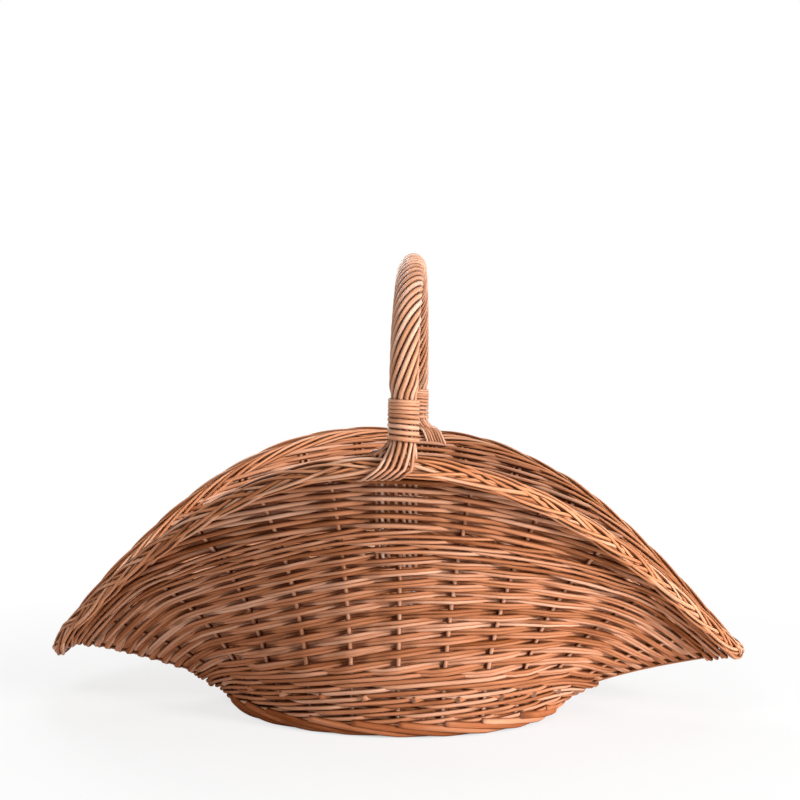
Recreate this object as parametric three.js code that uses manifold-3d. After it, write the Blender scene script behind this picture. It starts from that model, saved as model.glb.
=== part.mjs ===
// Wicker firewood basket: a saddle-rimmed willow basket with a roped bow handle.
// Millimetres, +Z up, +X along the length. The origin is on the floor under the middle.
import * as THREE from "three";
import { mergeVertices } from "three/addons/utils/BufferGeometryUtils.js";
import Module from "manifold-3d";

// Rim: the middle of the wall at its upper edge, high at the front and back and low at the two tips
const RIM_LENGTH = 688;
const RIM_WIDTH = 486;
const RIM_HEIGHT = 262;          // in the middle of the front and of the back
const TIP_HEIGHT = 60;
const TIP_SHARPNESS = 0.98;      // 0 is a round end, nearly 1 is a pointed one
const TIP_DIP = 0.2;             // how gently the rim line turns up from a tip
const RIM_FULLNESS = 0.2;        // how much fuller the sides are than an ellipse, from above
const FRONT_SWELL = 1;           // how full the rim's arch is, seen from the front
const BACK_SWELL = 1.41;
const BACK_SKEW = 0.16;          // how much fuller the back rim's arch is towards -X

// Wall: rises from the foot and flares outwards, steeper at the bottom
const FOOT_LENGTH = 336;         // outside the foot border
const FOOT_WIDTH = 300;
const WALL = 12;                 // woven wall, from inner to outer face
const FLARE_OUT = [0, 0.075, 0.44, 1]; // curve from foot to rim, share of the way out
const FLARE_UP = [0, 0.4, 0.735, 1];    // the same curve, share of the way up
const WEAVE_SWAY = 1.3;          // how far the lower weave bends out and in from stake to stake
const FIT = 0.3;                 // clearance between pieces that touch

// Upper edges of the woven bands, as shares of the wall's length in the middle of the front
const UPSETT_SHARE = 0.216;
const LOWER_SHARE = 0.655;
const MID_SHARE = 0.746;
const MID_TIP_SHARE = 0.627;     // the mid wale's edge at the tips, where the rows are beaten closer
const PANEL_REACH = 4;           // an upper panel spans this many stakes to each side of its middle
const PANEL_END = 4;             // least height of an upper panel

// Foot border and plaited rim border
const FOOT_HEIGHT = 12;
const FOOT_PROUD = 2;            // foot border beyond the wall's outer face
const FOOT_LEDGE = 14;           // ledge inside the wall that the base lies on
const FOOT_EDGE = 3;             // rounding of the foot border's outer edges
const BORDER_WIDTH = 25;         // across the wall
const BORDER_DEPTH = 21;         // along the wall
const BORDER_EDGE = 5;           // rounding of the border's corners
const BORDER_ROLL = 4;           // border's middle beyond the wall's middle, to the outside

// Stakes: the upright rods, evenly spaced, that carry the weave
const STAKES = 24;
const STAKE = 5.4;               // diameter
const SOCKET = 8;                // how deep a stake sits in the foot border and in the rim border
const STAKE_LEAN = 0.045;        // how far the stakes are turned towards +X, at the front and back
const STAKE_STEPS = 6;
const STAKE_EASE = 1.5;          // closer steps near the foot, where the wall bends most
const STAKE_SIDES = 4;

// Base: short sticks slit in the middle, long sticks through the slits, woven over
const LONG_STICKS = 3;
const LONG_STICK = 5;            // thickness
const LONG_PITCH = 34;
const SHORT_STICKS = 7;
const SHORT_STICK = 10;          // thickness
const SHORT_PITCH = 38;
const BASE_SKIN = 1.8;           // weave above and below a short stick
const STICK_END = 2;             // stick's end inside the edge of the base

// Handle: a bow pushed into the wall at the front and back, roped with rods
const HANDLE_HEIGHT = 459;       // top of the roped handle
const BOW = 14;                  // diameter along the arch
const BOW_BOUND = 11.8;          // diameter at the top of a binding
const BOW_NECK = 9;              // diameter under a binding
const BOW_FOOT = 7.2;            // diameter in the wall
const BOW_SIDES = 8;
const BOW_INSET = 4;             // bow's foot above the mid wale
const LEG_OUT = 9;               // bound leg beyond the rim line
const HANDLE_SHIFT = 12;         // handle's plane from the middle, towards +X
const NECK_HEIGHT = 18;          // lower end of a binding above the rim line
const ARCH_STEPS = 26;

// Rope rods: each starts in one wall, winds over the arch and ends over the opposite border
const ROPE_RODS = 12;
const ROPE_ROD = 4.4;            // diameter along the arch
const ROPE_ROOT = 3.6;           // diameter in the wall
const ROPE_TIP = 3.2;            // diameter over the border
const ROPE_SIDES = 5;
const ROPE_TURNS = 3.5;          // an odd number of half turns brings each rod to the outer side
const ROPE_SEAT = 1.6;           // room under a rod for the straight stretches of its winding
const BOUND_SEAT = 0.9;          // the same under a binding
const ROOT_FIRST = 6.9;          // root nearest to the bow, from the bow's middle
const ROOT_PITCH = 5.2;
const FAN_SHIFT = 23;            // how far the fan of ends slants sideways over the border
const FAN_PITCH = 6.4;           // spacing of the ends under the border
const FAN_CLEAR = 0.5;           // fan above the border

// Bindings: a thin rod wound round the roped leg above the rim
const BINDING_ROD = 3.2;         // diameter
const BINDING_TURNS = 9;
const BINDING_PITCH = 4;
const BINDING_STEPS = 12;        // steps in one turn
const BINDING_SIDES = 5;
const BINDING_SEAT = 0.7;        // binding above the rope rods

// Willow colours
const STICK_COLOR = 0xb07850;
const SHORT_STICK_COLOR = 0x9c6640;
const BASE_COLOR = 0xa96f4b;
const FOOT_COLOR = 0x93553a;
const STAKE_COLOR = 0x8a5738;
const WALL_COLOR = 0xaa6f52;
const WALE_COLOR = 0xb67c5c;
const PANEL_COLOR = 0x945c3f;
const BORDER_COLOR = 0xc68e70;
const BOW_COLOR = 0xb98a66;
const ROPE_COLOR = 0xd39b7d;

// Fineness of the curves' slopes and lengths
const SMALL = 1e-4;
const RUN_STEPS = 80;
const LEAN_STEPS = 5;

const FRONT = 1.5 * Math.PI;     // angle of the middle of the front, counted from the +X tip
const QUARTER = STAKES / 4;
const BORDER_SEAT = BORDER_DEPTH / 2 + FIT;
const X_AXIS = new THREE.Vector3(1, 0, 0);
const wasm = await Module();
wasm.setup();

// Point on the rim line: an oval with pointed tips, lifted at the front and back
function rimPoint(angle) {
  const side = Math.sin(angle);
  const along = Math.asin(TIP_SHARPNESS * Math.cos(angle)) / Math.asin(TIP_SHARPNESS);
  const across = (1 - RIM_FULLNESS) * side + RIM_FULLNESS * side ** 3;
  const rise = (Math.hypot(side, TIP_DIP) - TIP_DIP) / (Math.hypot(1, TIP_DIP) - TIP_DIP);
  const swell = side < 0 ? FRONT_SWELL : BACK_SWELL - BACK_SKEW * Math.cos(angle);
  const lift = 1 - (1 - rise) ** swell;
  const height = TIP_HEIGHT + (RIM_HEIGHT - TIP_HEIGHT) * lift;
  return new THREE.Vector3(RIM_LENGTH / 2 * along, RIM_WIDTH / 2 * across, height);
}

// Angle of the place on the front or back rim at a distance x from the middle
function rimAngle(x, atFront) {
  const along = Math.sin(x / (RIM_LENGTH / 2) * Math.asin(TIP_SHARPNESS)) / TIP_SHARPNESS;
  return atFront ? 2 * Math.PI - Math.acos(along) : Math.acos(along);
}

// Point on the floor under the middle of the wall
function basePoint(angle) {
  const inset = FOOT_PROUD + WALL / 2;
  return new THREE.Vector3(
    (FOOT_LENGTH / 2 - inset) * Math.cos(angle),
    (FOOT_WIDTH / 2 - inset) * Math.sin(angle),
    0,
  );
}

// Cubic curve from four control values
function cubic([a, b, c, d], t) {
  const s = 1 - t;
  return a * s ** 3 + 3 * b * s * s * t + 3 * c * s * t * t + d * t ** 3;
}

// Point in the middle of the wall, a share of the way from the floor to the rim
function wallPoint(angle, share) {
  const rim = rimPoint(angle);
  const point = basePoint(angle).lerp(rim, cubic(FLARE_OUT, share));
  return point.setZ(rim.z * cubic(FLARE_UP, share));
}

// Place on the wall with its outward direction and its direction up the wall
function wallFrame(angle, share) {
  const point = wallPoint(angle, share);
  const around = wallPoint(angle + SMALL, share).sub(wallPoint(angle - SMALL, share));
  const up = wallPoint(angle, share + SMALL).sub(wallPoint(angle, share - SMALL)).normalize();
  return { point, up, out: around.cross(up).normalize() };
}

// Angle of an evenly spaced turn once the stakes lean, and the turn of an angle
const leaned = (turn) => turn - STAKE_LEAN * Math.sin(turn);
function evenTurn(angle) {
  let turn = angle;
  for (let i = 0; i < LEAN_STEPS; i += 1) {
    turn = angle + STAKE_LEAN * Math.sin(turn);
  }
  return turn;
}

// Length up the wall at a fixed angle, as running totals over equal shares
const wallRuns = new Map();
function wallRun(angle) {
  if (!wallRuns.has(angle)) {
    const points = Array.from({ length: RUN_STEPS + 1 }, (_, i) => wallPoint(angle, i / RUN_STEPS));
    const totals = [0];
    for (let i = 1; i <= RUN_STEPS; i += 1) {
      totals.push(totals[i - 1] + points[i].distanceTo(points[i - 1]));
    }
    wallRuns.set(angle, totals);
  }
  return wallRuns.get(angle);
}

const wallLength = (angle) => wallRun(angle).at(-1);

// Place at a length up the wall
function wallAt(angle, length) {
  const totals = wallRun(angle);
  const above = totals.findIndex((total) => total > length);
  const i = above < 0 ? RUN_STEPS : Math.max(above, 1);
  const part = (length - totals[i - 1]) / (totals[i] - totals[i - 1]);
  return wallFrame(angle, (i - 1 + part) / RUN_STEPS);
}

// Point at a length up the wall and a distance outwards from its middle
function onWall(angle, length, outwards = 0) {
  const { point, out } = wallAt(angle, length);
  return point.addScaledVector(out, outwards);
}

// Upper edge of the wall, under the rim border
const wallTop = (angle) => wallLength(angle) - BORDER_SEAT;

// Upper edges of the bands in the middle of the front, and of the mid wale at the tips
const frontLength = wallLength(FRONT);
const upsettTop = UPSETT_SHARE * frontLength;
const lowerTop = LOWER_SHARE * frontLength;
const midTopFront = MID_SHARE * frontLength;
const midTopTip = MID_TIP_SHARE * frontLength;

// Whether an upper panel stands above the mid wale, counted from the middle of the front or back
const panelTurn = PANEL_REACH / STAKES * 2 * Math.PI + SMALL;
const hasPanel = (angle) => Math.abs(Math.cos(evenTurn(angle))) <= Math.sin(panelTurn);

// Upper edge of the mid wale: under the panel, or under the rim border near the tips
function midTop(angle) {
  const eased = midTopTip + (midTopFront - midTopTip) * Math.sin(angle) ** 4;
  return hasPanel(angle) ? Math.min(eased, wallTop(angle) - PANEL_END) : wallTop(angle);
}

// Length up the wall of a band's edge: the bands draw together where the mid wale is lower
const rowLength = (angle, row) => row / midTopFront * midTop(angle);

// Angles of the wall's sections: each stake has one, with more between stakes near the tips
function sectionAngles() {
  const angles = [];
  for (let stake = 0; stake < STAKES; stake += 1) {
    const fromTip = Math.min(stake % (2 * QUARTER), 2 * QUARTER - 1 - stake % (2 * QUARTER));
    const steps = fromTip === 0 ? 3 : 2;
    for (let i = 0; i < steps; i += 1) {
      angles.push(leaned((stake + i / steps) / STAKES * 2 * Math.PI));
    }
  }
  return angles;
}
const ANGLES = sectionAngles();

// Skin over rings of points, with flat ends unless it closes on itself.
// The two halves of a ring slope their diagonals alike, so facing edges of two lofts lie parallel.
function loft(rings, closed) {
  const sides = rings[0].length;
  const at = (i, j) => (i % rings.length) * sides + (j % sides);
  const faces = [];
  const spans = closed ? rings.length : rings.length - 1;
  for (let i = 0; i < spans; i += 1) {
    for (let j = 0; j < sides; j += 1) {
      const [a, b, c, d] = [at(i, j), at(i + 1, j), at(i + 1, j + 1), at(i, j + 1)];
      faces.push(...(j < sides / 2 ? [a, b, c, a, c, d] : [a, b, d, b, c, d]));
    }
  }
  if (!closed) {
    for (let j = 0; j < Math.floor((sides - 1) / 2); j += 1) {
      const corners = [j, j + 1, sides - 2 - j, sides - 1 - j];
      const [a, b, c, d] = corners.map((corner) => at(0, corner));
      const [e, f, g, h] = corners.map((corner) => at(rings.length - 1, corner));
      faces.push(a, b, d, e, h, f);
      if (b !== c) {
        faces.push(b, c, d, f, h, g);
      }
    }
  }
  const positions = rings.flat().flatMap((point) => point.toArray());
  const geometry = new THREE.BufferGeometry();
  geometry.setAttribute("position", new THREE.Float32BufferAttribute(positions, 3));
  geometry.setIndex(faces);
  return geometry;
}

// Round rod through points, with a radius for each point
function rod(points, radii, sides) {
  const side = new THREE.Vector3();
  const rings = points.map((point, i) => {
    const before = points[Math.max(i - 1, 0)];
    const after = points[Math.min(i + 1, points.length - 1)];
    const tangent = after.clone().sub(before).normalize();
    if (i === 0) {
      side.copy(Math.abs(tangent.x) < 0.9 ? X_AXIS : new THREE.Vector3(0, 1, 0));
    }
    side.addScaledVector(tangent, -side.dot(tangent)).normalize();
    const other = side.clone().cross(tangent);
    return Array.from({ length: sides }, (_, j) => {
      const turn = j / sides * 2 * Math.PI;
      return point.clone()
        .addScaledVector(side, radii[i] * Math.cos(turn))
        .addScaledVector(other, radii[i] * Math.sin(turn));
    });
  });
  return loft(rings, false);
}

// The same rod made larger all round by the clearance, for cutting its channel
const roomFor = ({ points, radii, sides }) => rod(points, radii.map((radius) => radius + FIT), sides);

function solidOf(geometry) {
  const bare = geometry.clone();
  bare.deleteAttribute("normal");
  bare.deleteAttribute("uv");
  const merged = mergeVertices(bare);
  return new wasm.Manifold(new wasm.Mesh({
    numProp: 3,
    vertProperties: Float32Array.from(merged.attributes.position.array),
    triVerts: Uint32Array.from(merged.index.array),
  }));
}

// Geometry with the room for other pieces cut out of it
function cut(geometry, cutters) {
  const solid = cutters.reduce((left, cutter) => left.subtract(solidOf(cutter)), solidOf(geometry));
  const { vertProperties, triVerts } = solid.getMesh();
  const result = new THREE.BufferGeometry();
  result.setAttribute("position", new THREE.Float32BufferAttribute(vertProperties, 3));
  result.setIndex(Array.from(triVerts));
  return result;
}

// Woven band between two edges, given as lengths up the wall at each angle.
// With a level, the band stands flat on it. With a sway, it bends out at one stake and in at the next.
function band(angles, closed, lowEdge, highEdge, rows, { level = null, sway = 0 } = {}) {
  const rings = angles.map((angle) => {
    const low = lowEdge(angle);
    const high = highEdge(angle);
    const lengths = Array.from({ length: rows + 1 }, (_, i) => low + (high - low) * i / rows);
    const swing = sway * Math.cos(evenTurn(angle) * STAKES / 2);
    const bend = lengths.map((_, i) => (i % 2 ? -swing : swing));
    const outer = lengths.map((length, i) => onWall(angle, length, bend[i] + (WALL - sway) / 2));
    const inner = lengths.map((length, i) => onWall(angle, length, bend[i] - (WALL - sway) / 2));
    if (level !== null) {
      outer[0].setZ(level);
      inner[0].setZ(level);
    }
    return [...outer, ...inner.reverse()];
  });
  return loft(rings, closed);
}

// Point of the rim border, from its middle: outwards across the wall and up along it
function borderPoint(angle, outwards, upwards) {
  const { point, up, out } = wallFrame(angle, 1);
  return point.addScaledVector(out, BORDER_ROLL + outwards).addScaledVector(up, upwards);
}

// Rim border: a rounded section carried round the rim
function rimBorder() {
  const wide = BORDER_WIDTH / 2;
  const deep = BORDER_DEPTH / 2;
  const section = [
    [wide - BORDER_EDGE, -deep], [wide, -deep + BORDER_EDGE],
    [wide, deep - BORDER_EDGE], [wide - BORDER_EDGE, deep],
    [-wide + BORDER_EDGE, deep], [-wide, deep - BORDER_EDGE],
    [-wide, -deep + BORDER_EDGE], [-wide + BORDER_EDGE, -deep],
  ];
  return loft(ANGLES.map((angle) => section.map(([out, up]) => borderPoint(angle, out, up))), true);
}

// Direction straight out from the wall's foot, level with the floor
const footOut = (angle) => wallFrame(angle, 0).out.setZ(0).normalize();

// Foot border: a ring with a flat bottom, and a ledge inside the wall for the base
function footBorder() {
  const outer = WALL / 2 + FOOT_PROUD;
  const inner = WALL / 2 + FOOT_LEDGE;
  const section = [
    [outer - FOOT_EDGE, 0], [outer, FOOT_EDGE], [outer, FOOT_HEIGHT - FOOT_EDGE],
    [outer - FOOT_EDGE, FOOT_HEIGHT], [-inner, FOOT_HEIGHT], [-inner, 0],
  ];
  return loft(ANGLES.map((angle) => section.map(([out, up]) => (
    basePoint(angle).addScaledVector(footOut(angle), out).setZ(up)
  ))), true);
}

// Point past the end of a line from one point to another
const beyond = (from, end, length) => end.clone().sub(from).setLength(length).add(end);

// Stakes: in the middle of the wall, from the foot border into the rim border
function stakeRod(index) {
  const angle = leaned(index / STAKES * 2 * Math.PI);
  const underHandle = index % (2 * QUARTER) === QUARTER;
  const low = FOOT_HEIGHT - SOCKET;
  const high = underHandle ? midTop(angle) - FIT : wallLength(angle) - BORDER_DEPTH / 2 + SOCKET;
  const points = Array.from({ length: STAKE_STEPS + 1 }, (_, i) => (
    onWall(angle, low + (high - low) * (i / STAKE_STEPS) ** STAKE_EASE)
  ));
  return { points, radii: points.map(() => STAKE / 2), sides: STAKE_SIDES };
}
const stakeRods = Array.from({ length: STAKES }, (_, index) => stakeRod(index));
const stakeRooms = stakeRods.map((stake) => {
  const { points } = stake;
  const first = beyond(points[1], points[0], FIT);
  const last = beyond(points.at(-2), points.at(-1), FIT);
  return roomFor({ ...stake, points: [first, ...points.slice(1, -1), last] });
});

// Handle line: up the front wall, through the border, up the binding and over in half an ellipse
const legOut = RIM_WIDTH / 2 + LEG_OUT;
const neck = RIM_HEIGHT + NECK_HEIGHT;
const spring = neck + (BINDING_TURNS + 1) * BINDING_PITCH;
const ropeRing = BOW / 2 + ROPE_SEAT + ROPE_ROD / 2;
const boundRing = BOW_BOUND / 2 + BOUND_SEAT + ROPE_ROD / 2;
const archRise = HANDLE_HEIGHT - ROPE_ROD / 2 - ropeRing - spring;
const bowFoot = midTopFront + BOW_INSET;
const legTop = borderPoint(FRONT, -BORDER_ROLL, BORDER_SEAT);
const slide = new THREE.Vector3(HANDLE_SHIFT, 0, 0);
const legLengths = [bowFoot, (bowFoot + frontLength) / 2, frontLength];
const leg = [...legLengths.map((length) => onWall(FRONT, length)), legTop];
const neckPoint = new THREE.Vector3(0, -legOut, neck);
const springPoint = new THREE.Vector3(0, -legOut, spring);
const archPoint = (turn) => new THREE.Vector3(
  0, -legOut * Math.cos(turn), spring + archRise * Math.sin(turn),
);
const slid = (point) => point.clone().add(slide);
const halfTurned = (point) => new THREE.Vector3(-point.x, -point.y, point.z);

// Share of the arch's length passed at each step, so that the rope winds evenly
const archTurns = Array.from({ length: ARCH_STEPS + 1 }, (_, i) => i / ARCH_STEPS * Math.PI);
const archShares = [0];
for (let i = 1; i <= ARCH_STEPS; i += 1) {
  archShares.push(archShares[i - 1] + archPoint(archTurns[i]).distanceTo(archPoint(archTurns[i - 1])));
}
archShares.forEach((length, i) => {
  archShares[i] = length / archShares[ARCH_STEPS];
});

function bowRod() {
  const half = [...leg, neckPoint, springPoint];
  const halfRadii = [...leg.map(() => BOW_FOOT), BOW_NECK, BOW_BOUND].map((size) => size / 2);
  const arch = archTurns.slice(1, -1).map(archPoint);
  return {
    points: [...half, ...arch, ...half.map(halfTurned).reverse()].map(slid),
    radii: [...halfRadii, ...arch.map(() => BOW / 2), ...[...halfRadii].reverse()],
    sides: BOW_SIDES,
  };
}

// Point of the front roped leg at a height, at a turn from its outer side towards +X
const legPoint = (turn, height) => new THREE.Vector3(
  boundRing * Math.sin(turn), -legOut - boundRing * Math.cos(turn), height,
);

// Point of the rope over the arch
function ropePoint(turn, archTurn) {
  const outward = new THREE.Vector3(
    0, -archRise * Math.cos(archTurn), legOut * Math.sin(archTurn),
  );
  return archPoint(archTurn)
    .addScaledVector(outward.normalize(), ropeRing * Math.cos(turn))
    .addScaledVector(X_AXIS, ropeRing * Math.sin(turn));
}

// Ends of the rope rods over a border: a slanted fan that tucks in under the border
function fanPoints(place, atFront) {
  const clear = ROPE_TIP / 2 + FAN_CLEAR;
  const corner = clear * Math.tan(Math.PI / 8);
  const out = BORDER_WIDTH / 2;
  const deep = BORDER_DEPTH / 2;
  const route = [
    { shift: 0.15, spread: 0.82, out: out - BORDER_EDGE + corner, up: deep + clear },
    { shift: 0.4, spread: 0.88, out: out + clear, up: deep - BORDER_EDGE + corner },
    { shift: 0.8, spread: 0.94, out: out + clear, up: -deep + BORDER_EDGE - corner },
    { shift: 1, spread: 1, out: out - BORDER_EDGE + corner, up: -deep - clear },
  ];
  const middle = (ROPE_RODS / 2 - 1) / 2;
  return route.map((step) => {
    const x = -FAN_SHIFT * step.shift + (place - middle) * FAN_PITCH * step.spread;
    return borderPoint(rimAngle(HANDLE_SHIFT + (atFront ? x : -x), atFront), step.out, step.up);
  });
}

// Rope rod that roots in one wall, on the inner side of the bow, and ends over the opposite border
function ropeRod(index, rootAtFront) {
  const spacing = 2 * Math.PI / ROPE_RODS;
  const startTurn = Math.PI / 2 + spacing * (index + 0.5);
  const endTurn = startTurn + ROPE_TURNS * 2 * Math.PI;
  const half = ROPE_RODS / 4;
  const step = index < half ? half - 1 - index : index - half;
  const rootX = (ROOT_FIRST + ROOT_PITCH * step) * (index < half ? 1 : -1);
  const root = leg.map((point) => point.clone().setX(rootX));
  const arch = archTurns.slice(1, -1).map((turn, i) => (
    ropePoint(startTurn + (endTurn - startTurn) * archShares[i + 1], turn)
  ));
  const frontLeg = [neck, spring].map((height) => legPoint(startTurn, height));
  const backLeg = [spring, neck].map((height) => halfTurned(legPoint(-endTurn, height)));
  const wound = [...root, ...frontLeg, ...arch, ...backLeg];
  const fan = fanPoints(ROPE_RODS / 2 - 1 - index, !rootAtFront);
  const placed = (rootAtFront ? wound : wound.map(halfTurned)).map(slid);
  const points = [...placed, ...fan];
  const radii = [
    ...root.map(() => ROPE_ROOT / 2), ROPE_ROD / 2, ROPE_ROD / 2,
    ...arch.map(() => ROPE_ROD / 2), ROPE_ROD / 2, (ROPE_ROD + ROPE_TIP) / 4,
    ...fan.map(() => ROPE_TIP / 2),
  ];
  return { points, radii, sides: ROPE_SIDES };
}

// Slot in the front wall and border for the bow's foot and the roots beside it
function handleSlot() {
  const wide = ROOT_FIRST + ROOT_PITCH * (ROPE_RODS / 4 - 1) + ROPE_ROOT / 2 + FIT;
  const thin = ROPE_ROOT / 2 + FIT;
  const thick = BOW_FOOT / 2 + 2 * FIT;
  const section = [[0, -thick], [-wide, -thin], [-wide, thin], [0, thick], [wide, thin], [wide, -thin]];
  const line = [beyond(leg[1], leg[0], FIT), ...leg.slice(1, -1), beyond(leg.at(-2), leg.at(-1), WALL)];
  return loft(line.map((point, i) => {
    const before = line[Math.max(i - 1, 0)];
    const after = line[Math.min(i + 1, line.length - 1)];
    const across = after.clone().sub(before).normalize().cross(X_AXIS);
    return section.map(([x, out]) => point.clone().addScaledVector(X_AXIS, x).addScaledVector(across, out));
  }), false);
}

// Binding of the front leg: one rod wound upwards round the rope rods
function bindingRod() {
  const ring = boundRing + ROPE_ROD / 2 + BINDING_SEAT + BINDING_ROD / 2;
  const steps = BINDING_TURNS * BINDING_STEPS;
  const low = neck + BINDING_PITCH / 2;
  const points = Array.from({ length: steps + 1 }, (_, i) => {
    const turn = i / BINDING_STEPS * 2 * Math.PI;
    const height = low + i / BINDING_STEPS * BINDING_PITCH;
    return new THREE.Vector3(ring * Math.sin(turn), -legOut + ring * Math.cos(turn), height);
  });
  return { points, radii: points.map(() => BINDING_ROD / 2), sides: BINDING_SIDES };
}

// Least gap of a wound rod to itself: between points at least a half turn's worth of steps apart
function leastGap({ points, radii }, apart) {
  let least = Infinity;
  for (let i = 0; i < points.length; i += 1) {
    for (let j = i + apart; j < points.length; j += 1) {
      least = Math.min(least, points[i].distanceTo(points[j]) - radii[i] - radii[j]);
    }
  }
  return least;
}

// Basket tree
const basket = new THREE.Group();
function add(name, geometry, color, parent = basket) {
  geometry.computeVertexNormals();
  const material = new THREE.MeshStandardMaterial({ color, roughness: 0.6, metalness: 0 });
  const mesh = new THREE.Mesh(geometry, material);
  mesh.name = name;
  parent.add(mesh);
}
const number = (index) => String(index + 1).padStart(2, "0");

// Bow, rope rods from both sides, and the slots they come through at the front and back
const bow = bowRod();
const ropeRods = Array.from({ length: ROPE_RODS }, (_, index) => (
  ropeRod(index % (ROPE_RODS / 2), index < ROPE_RODS / 2)
));
const frontSlot = handleSlot();
const handleSlots = [frontSlot, frontSlot.clone().rotateZ(Math.PI)]
  .map((slot) => slot.translate(HANDLE_SHIFT, 0, 0));

// Base: sticks through slits, and the oval weave round them
const footTop = FOOT_HEIGHT + FIT;
const baseDepth = SHORT_STICK + 2 * BASE_SKIN;
const baseMiddle = footTop + baseDepth / 2;
const baseInset = FOOT_PROUD + WALL + FIT;
const baseLong = FOOT_LENGTH / 2 - baseInset;
const baseWide = FOOT_WIDTH / 2 - baseInset;
const rowPlace = (index, count, pitch) => (index - (count - 1) / 2) * pitch;

// Split stick along X or Y through the base at a place across it
function stick(thickness, length, alongX, place) {
  const [x, y] = alongX ? [length, thickness] : [thickness, length];
  const geometry = new THREE.BoxGeometry(x, y, thickness);
  return geometry.translate(alongX ? 0 : place, alongX ? place : 0, baseMiddle);
}

// Length of a stick whose outer edge stays inside the oval of the base
function stickLength(place, thickness, halfAlong, halfAcross) {
  const edgePlace = Math.abs(place) + thickness / 2;
  return 2 * (halfAlong * Math.sqrt(1 - (edgePlace / halfAcross) ** 2) - STICK_END);
}
const longSticks = Array.from({ length: LONG_STICKS }, (_, index) => {
  const place = rowPlace(index, LONG_STICKS, LONG_PITCH);
  return { place, length: stickLength(place, LONG_STICK, baseLong, baseWide) };
});
const shortSticks = Array.from({ length: SHORT_STICKS }, (_, index) => {
  const place = rowPlace(index, SHORT_STICKS, SHORT_PITCH);
  return { place, length: stickLength(place, SHORT_STICK, baseWide, baseLong) };
});
const longRooms = longSticks.map(({ place, length }) => (
  stick(LONG_STICK + 2 * FIT, length + 2 * WALL, true, place)
));
const shortRooms = shortSticks.map(({ place, length }) => (
  stick(SHORT_STICK + 2 * FIT, length + 2 * WALL, false, place)
));
const baseOutline = new THREE.Shape(ANGLES.map((angle) => {
  const point = basePoint(angle).addScaledVector(footOut(angle), -WALL / 2 - FIT);
  return new THREE.Vector2(point.x, point.y);
}));
const baseWeave = new THREE.ExtrudeGeometry(baseOutline, { depth: baseDepth, bevelEnabled: false });
baseWeave.translate(0, 0, footTop);

longSticks.forEach(({ place, length }, index) => {
  add(`base_long_stick_${index + 1}`, stick(LONG_STICK, length, true, place), STICK_COLOR);
});
shortSticks.forEach(({ place, length }, index) => {
  const slit = cut(stick(SHORT_STICK, length, false, place), longRooms);
  add(`base_short_stick_${index + 1}`, slit, SHORT_STICK_COLOR);
});
add("base_weave", cut(baseWeave, [...longRooms, ...shortRooms]), BASE_COLOR);

// Wall: foot, stakes, woven bands and the plaited border
add("foot_border", cut(footBorder(), stakeRooms), FOOT_COLOR);
stakeRods.forEach(({ points, radii, sides }, index) => {
  add(`stake_${number(index)}`, rod(points, radii, sides), STAKE_COLOR);
});
const edge = (row, gap) => (angle) => rowLength(angle, row) + gap;
const upsett = band(ANGLES, true, () => footTop, edge(upsettTop, -FIT / 2), 2, { level: footTop });
add("upsett_wale", cut(upsett, stakeRooms), WALL_COLOR);
const lowerEdges = [edge(upsettTop, FIT / 2), edge(lowerTop, -FIT / 2)];
const lower = band(ANGLES, true, ...lowerEdges, 3, { sway: WEAVE_SWAY });
add("lower_weave", cut(lower, stakeRooms), WALL_COLOR);
const mid = band(ANGLES, true, edge(lowerTop, FIT / 2), edge(midTopFront, -FIT / 2), 1);
add("mid_wale", cut(mid, stakeRooms), WALE_COLOR);

// Upper panels fill the wall above the mid wale, at the front and back only
const panelRooms = [...stakeRooms, ...handleSlots];
function panel(atFront) {
  const angles = ANGLES.filter((angle) => hasPanel(angle) && angle > Math.PI === atFront);
  return cut(band(angles, false, edge(midTopFront, FIT / 2), wallTop, 2), panelRooms);
}
add("front_weave", panel(true), PANEL_COLOR);
add("back_weave", panel(false), PANEL_COLOR);
add("rim_border", cut(rimBorder(), panelRooms), BORDER_COLOR);

// Handle: bow, rope rods from both sides, and the two bindings
add("handle_bow", rod(bow.points, bow.radii, bow.sides), BOW_COLOR);
ropeRods.forEach(({ points, radii, sides }, index) => {
  add(`rope_rod_${number(index)}`, rod(points, radii, sides), ROPE_COLOR);
});
const binding = bindingRod();
const frontSide = new THREE.Group();
const backSide = new THREE.Group();
frontSide.position.copy(slide);
backSide.position.copy(slide);
backSide.rotation.z = Math.PI;
basket.add(frontSide, backSide);
add("front_binding", rod(binding.points, binding.radii, binding.sides), BORDER_COLOR, frontSide);
add("back_binding", rod(binding.points, binding.radii, binding.sides), BORDER_COLOR, backSide);

console.log(`binding: least gap to itself ${leastGap(binding, BINDING_STEPS / 2).toFixed(2)} mm`);
const ropeApart = Math.ceil(ARCH_STEPS / ROPE_TURNS / 2);
const ropeGap = Math.min(...ropeRods.map((rope) => leastGap(rope, ropeApart)));
console.log(`rope rods: least gap of one to itself ${ropeGap.toFixed(2)} mm`);

export default basket;
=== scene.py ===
"""Wicker firewood basket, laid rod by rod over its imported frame.

Lengths are in metres, +Z is up, the length runs along X and the front faces -Y. An angle runs round
the basket from the +X tip through the back, the -X tip and the front. A row is a length up the wall
in the middle of the front, and is squeezed where the wall is shorter.
"""
import math

import bpy
import numpy as np
from bpy.props import FloatProperty, FloatVectorProperty, IntProperty, PointerProperty
from mathutils import Matrix, Vector


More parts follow.
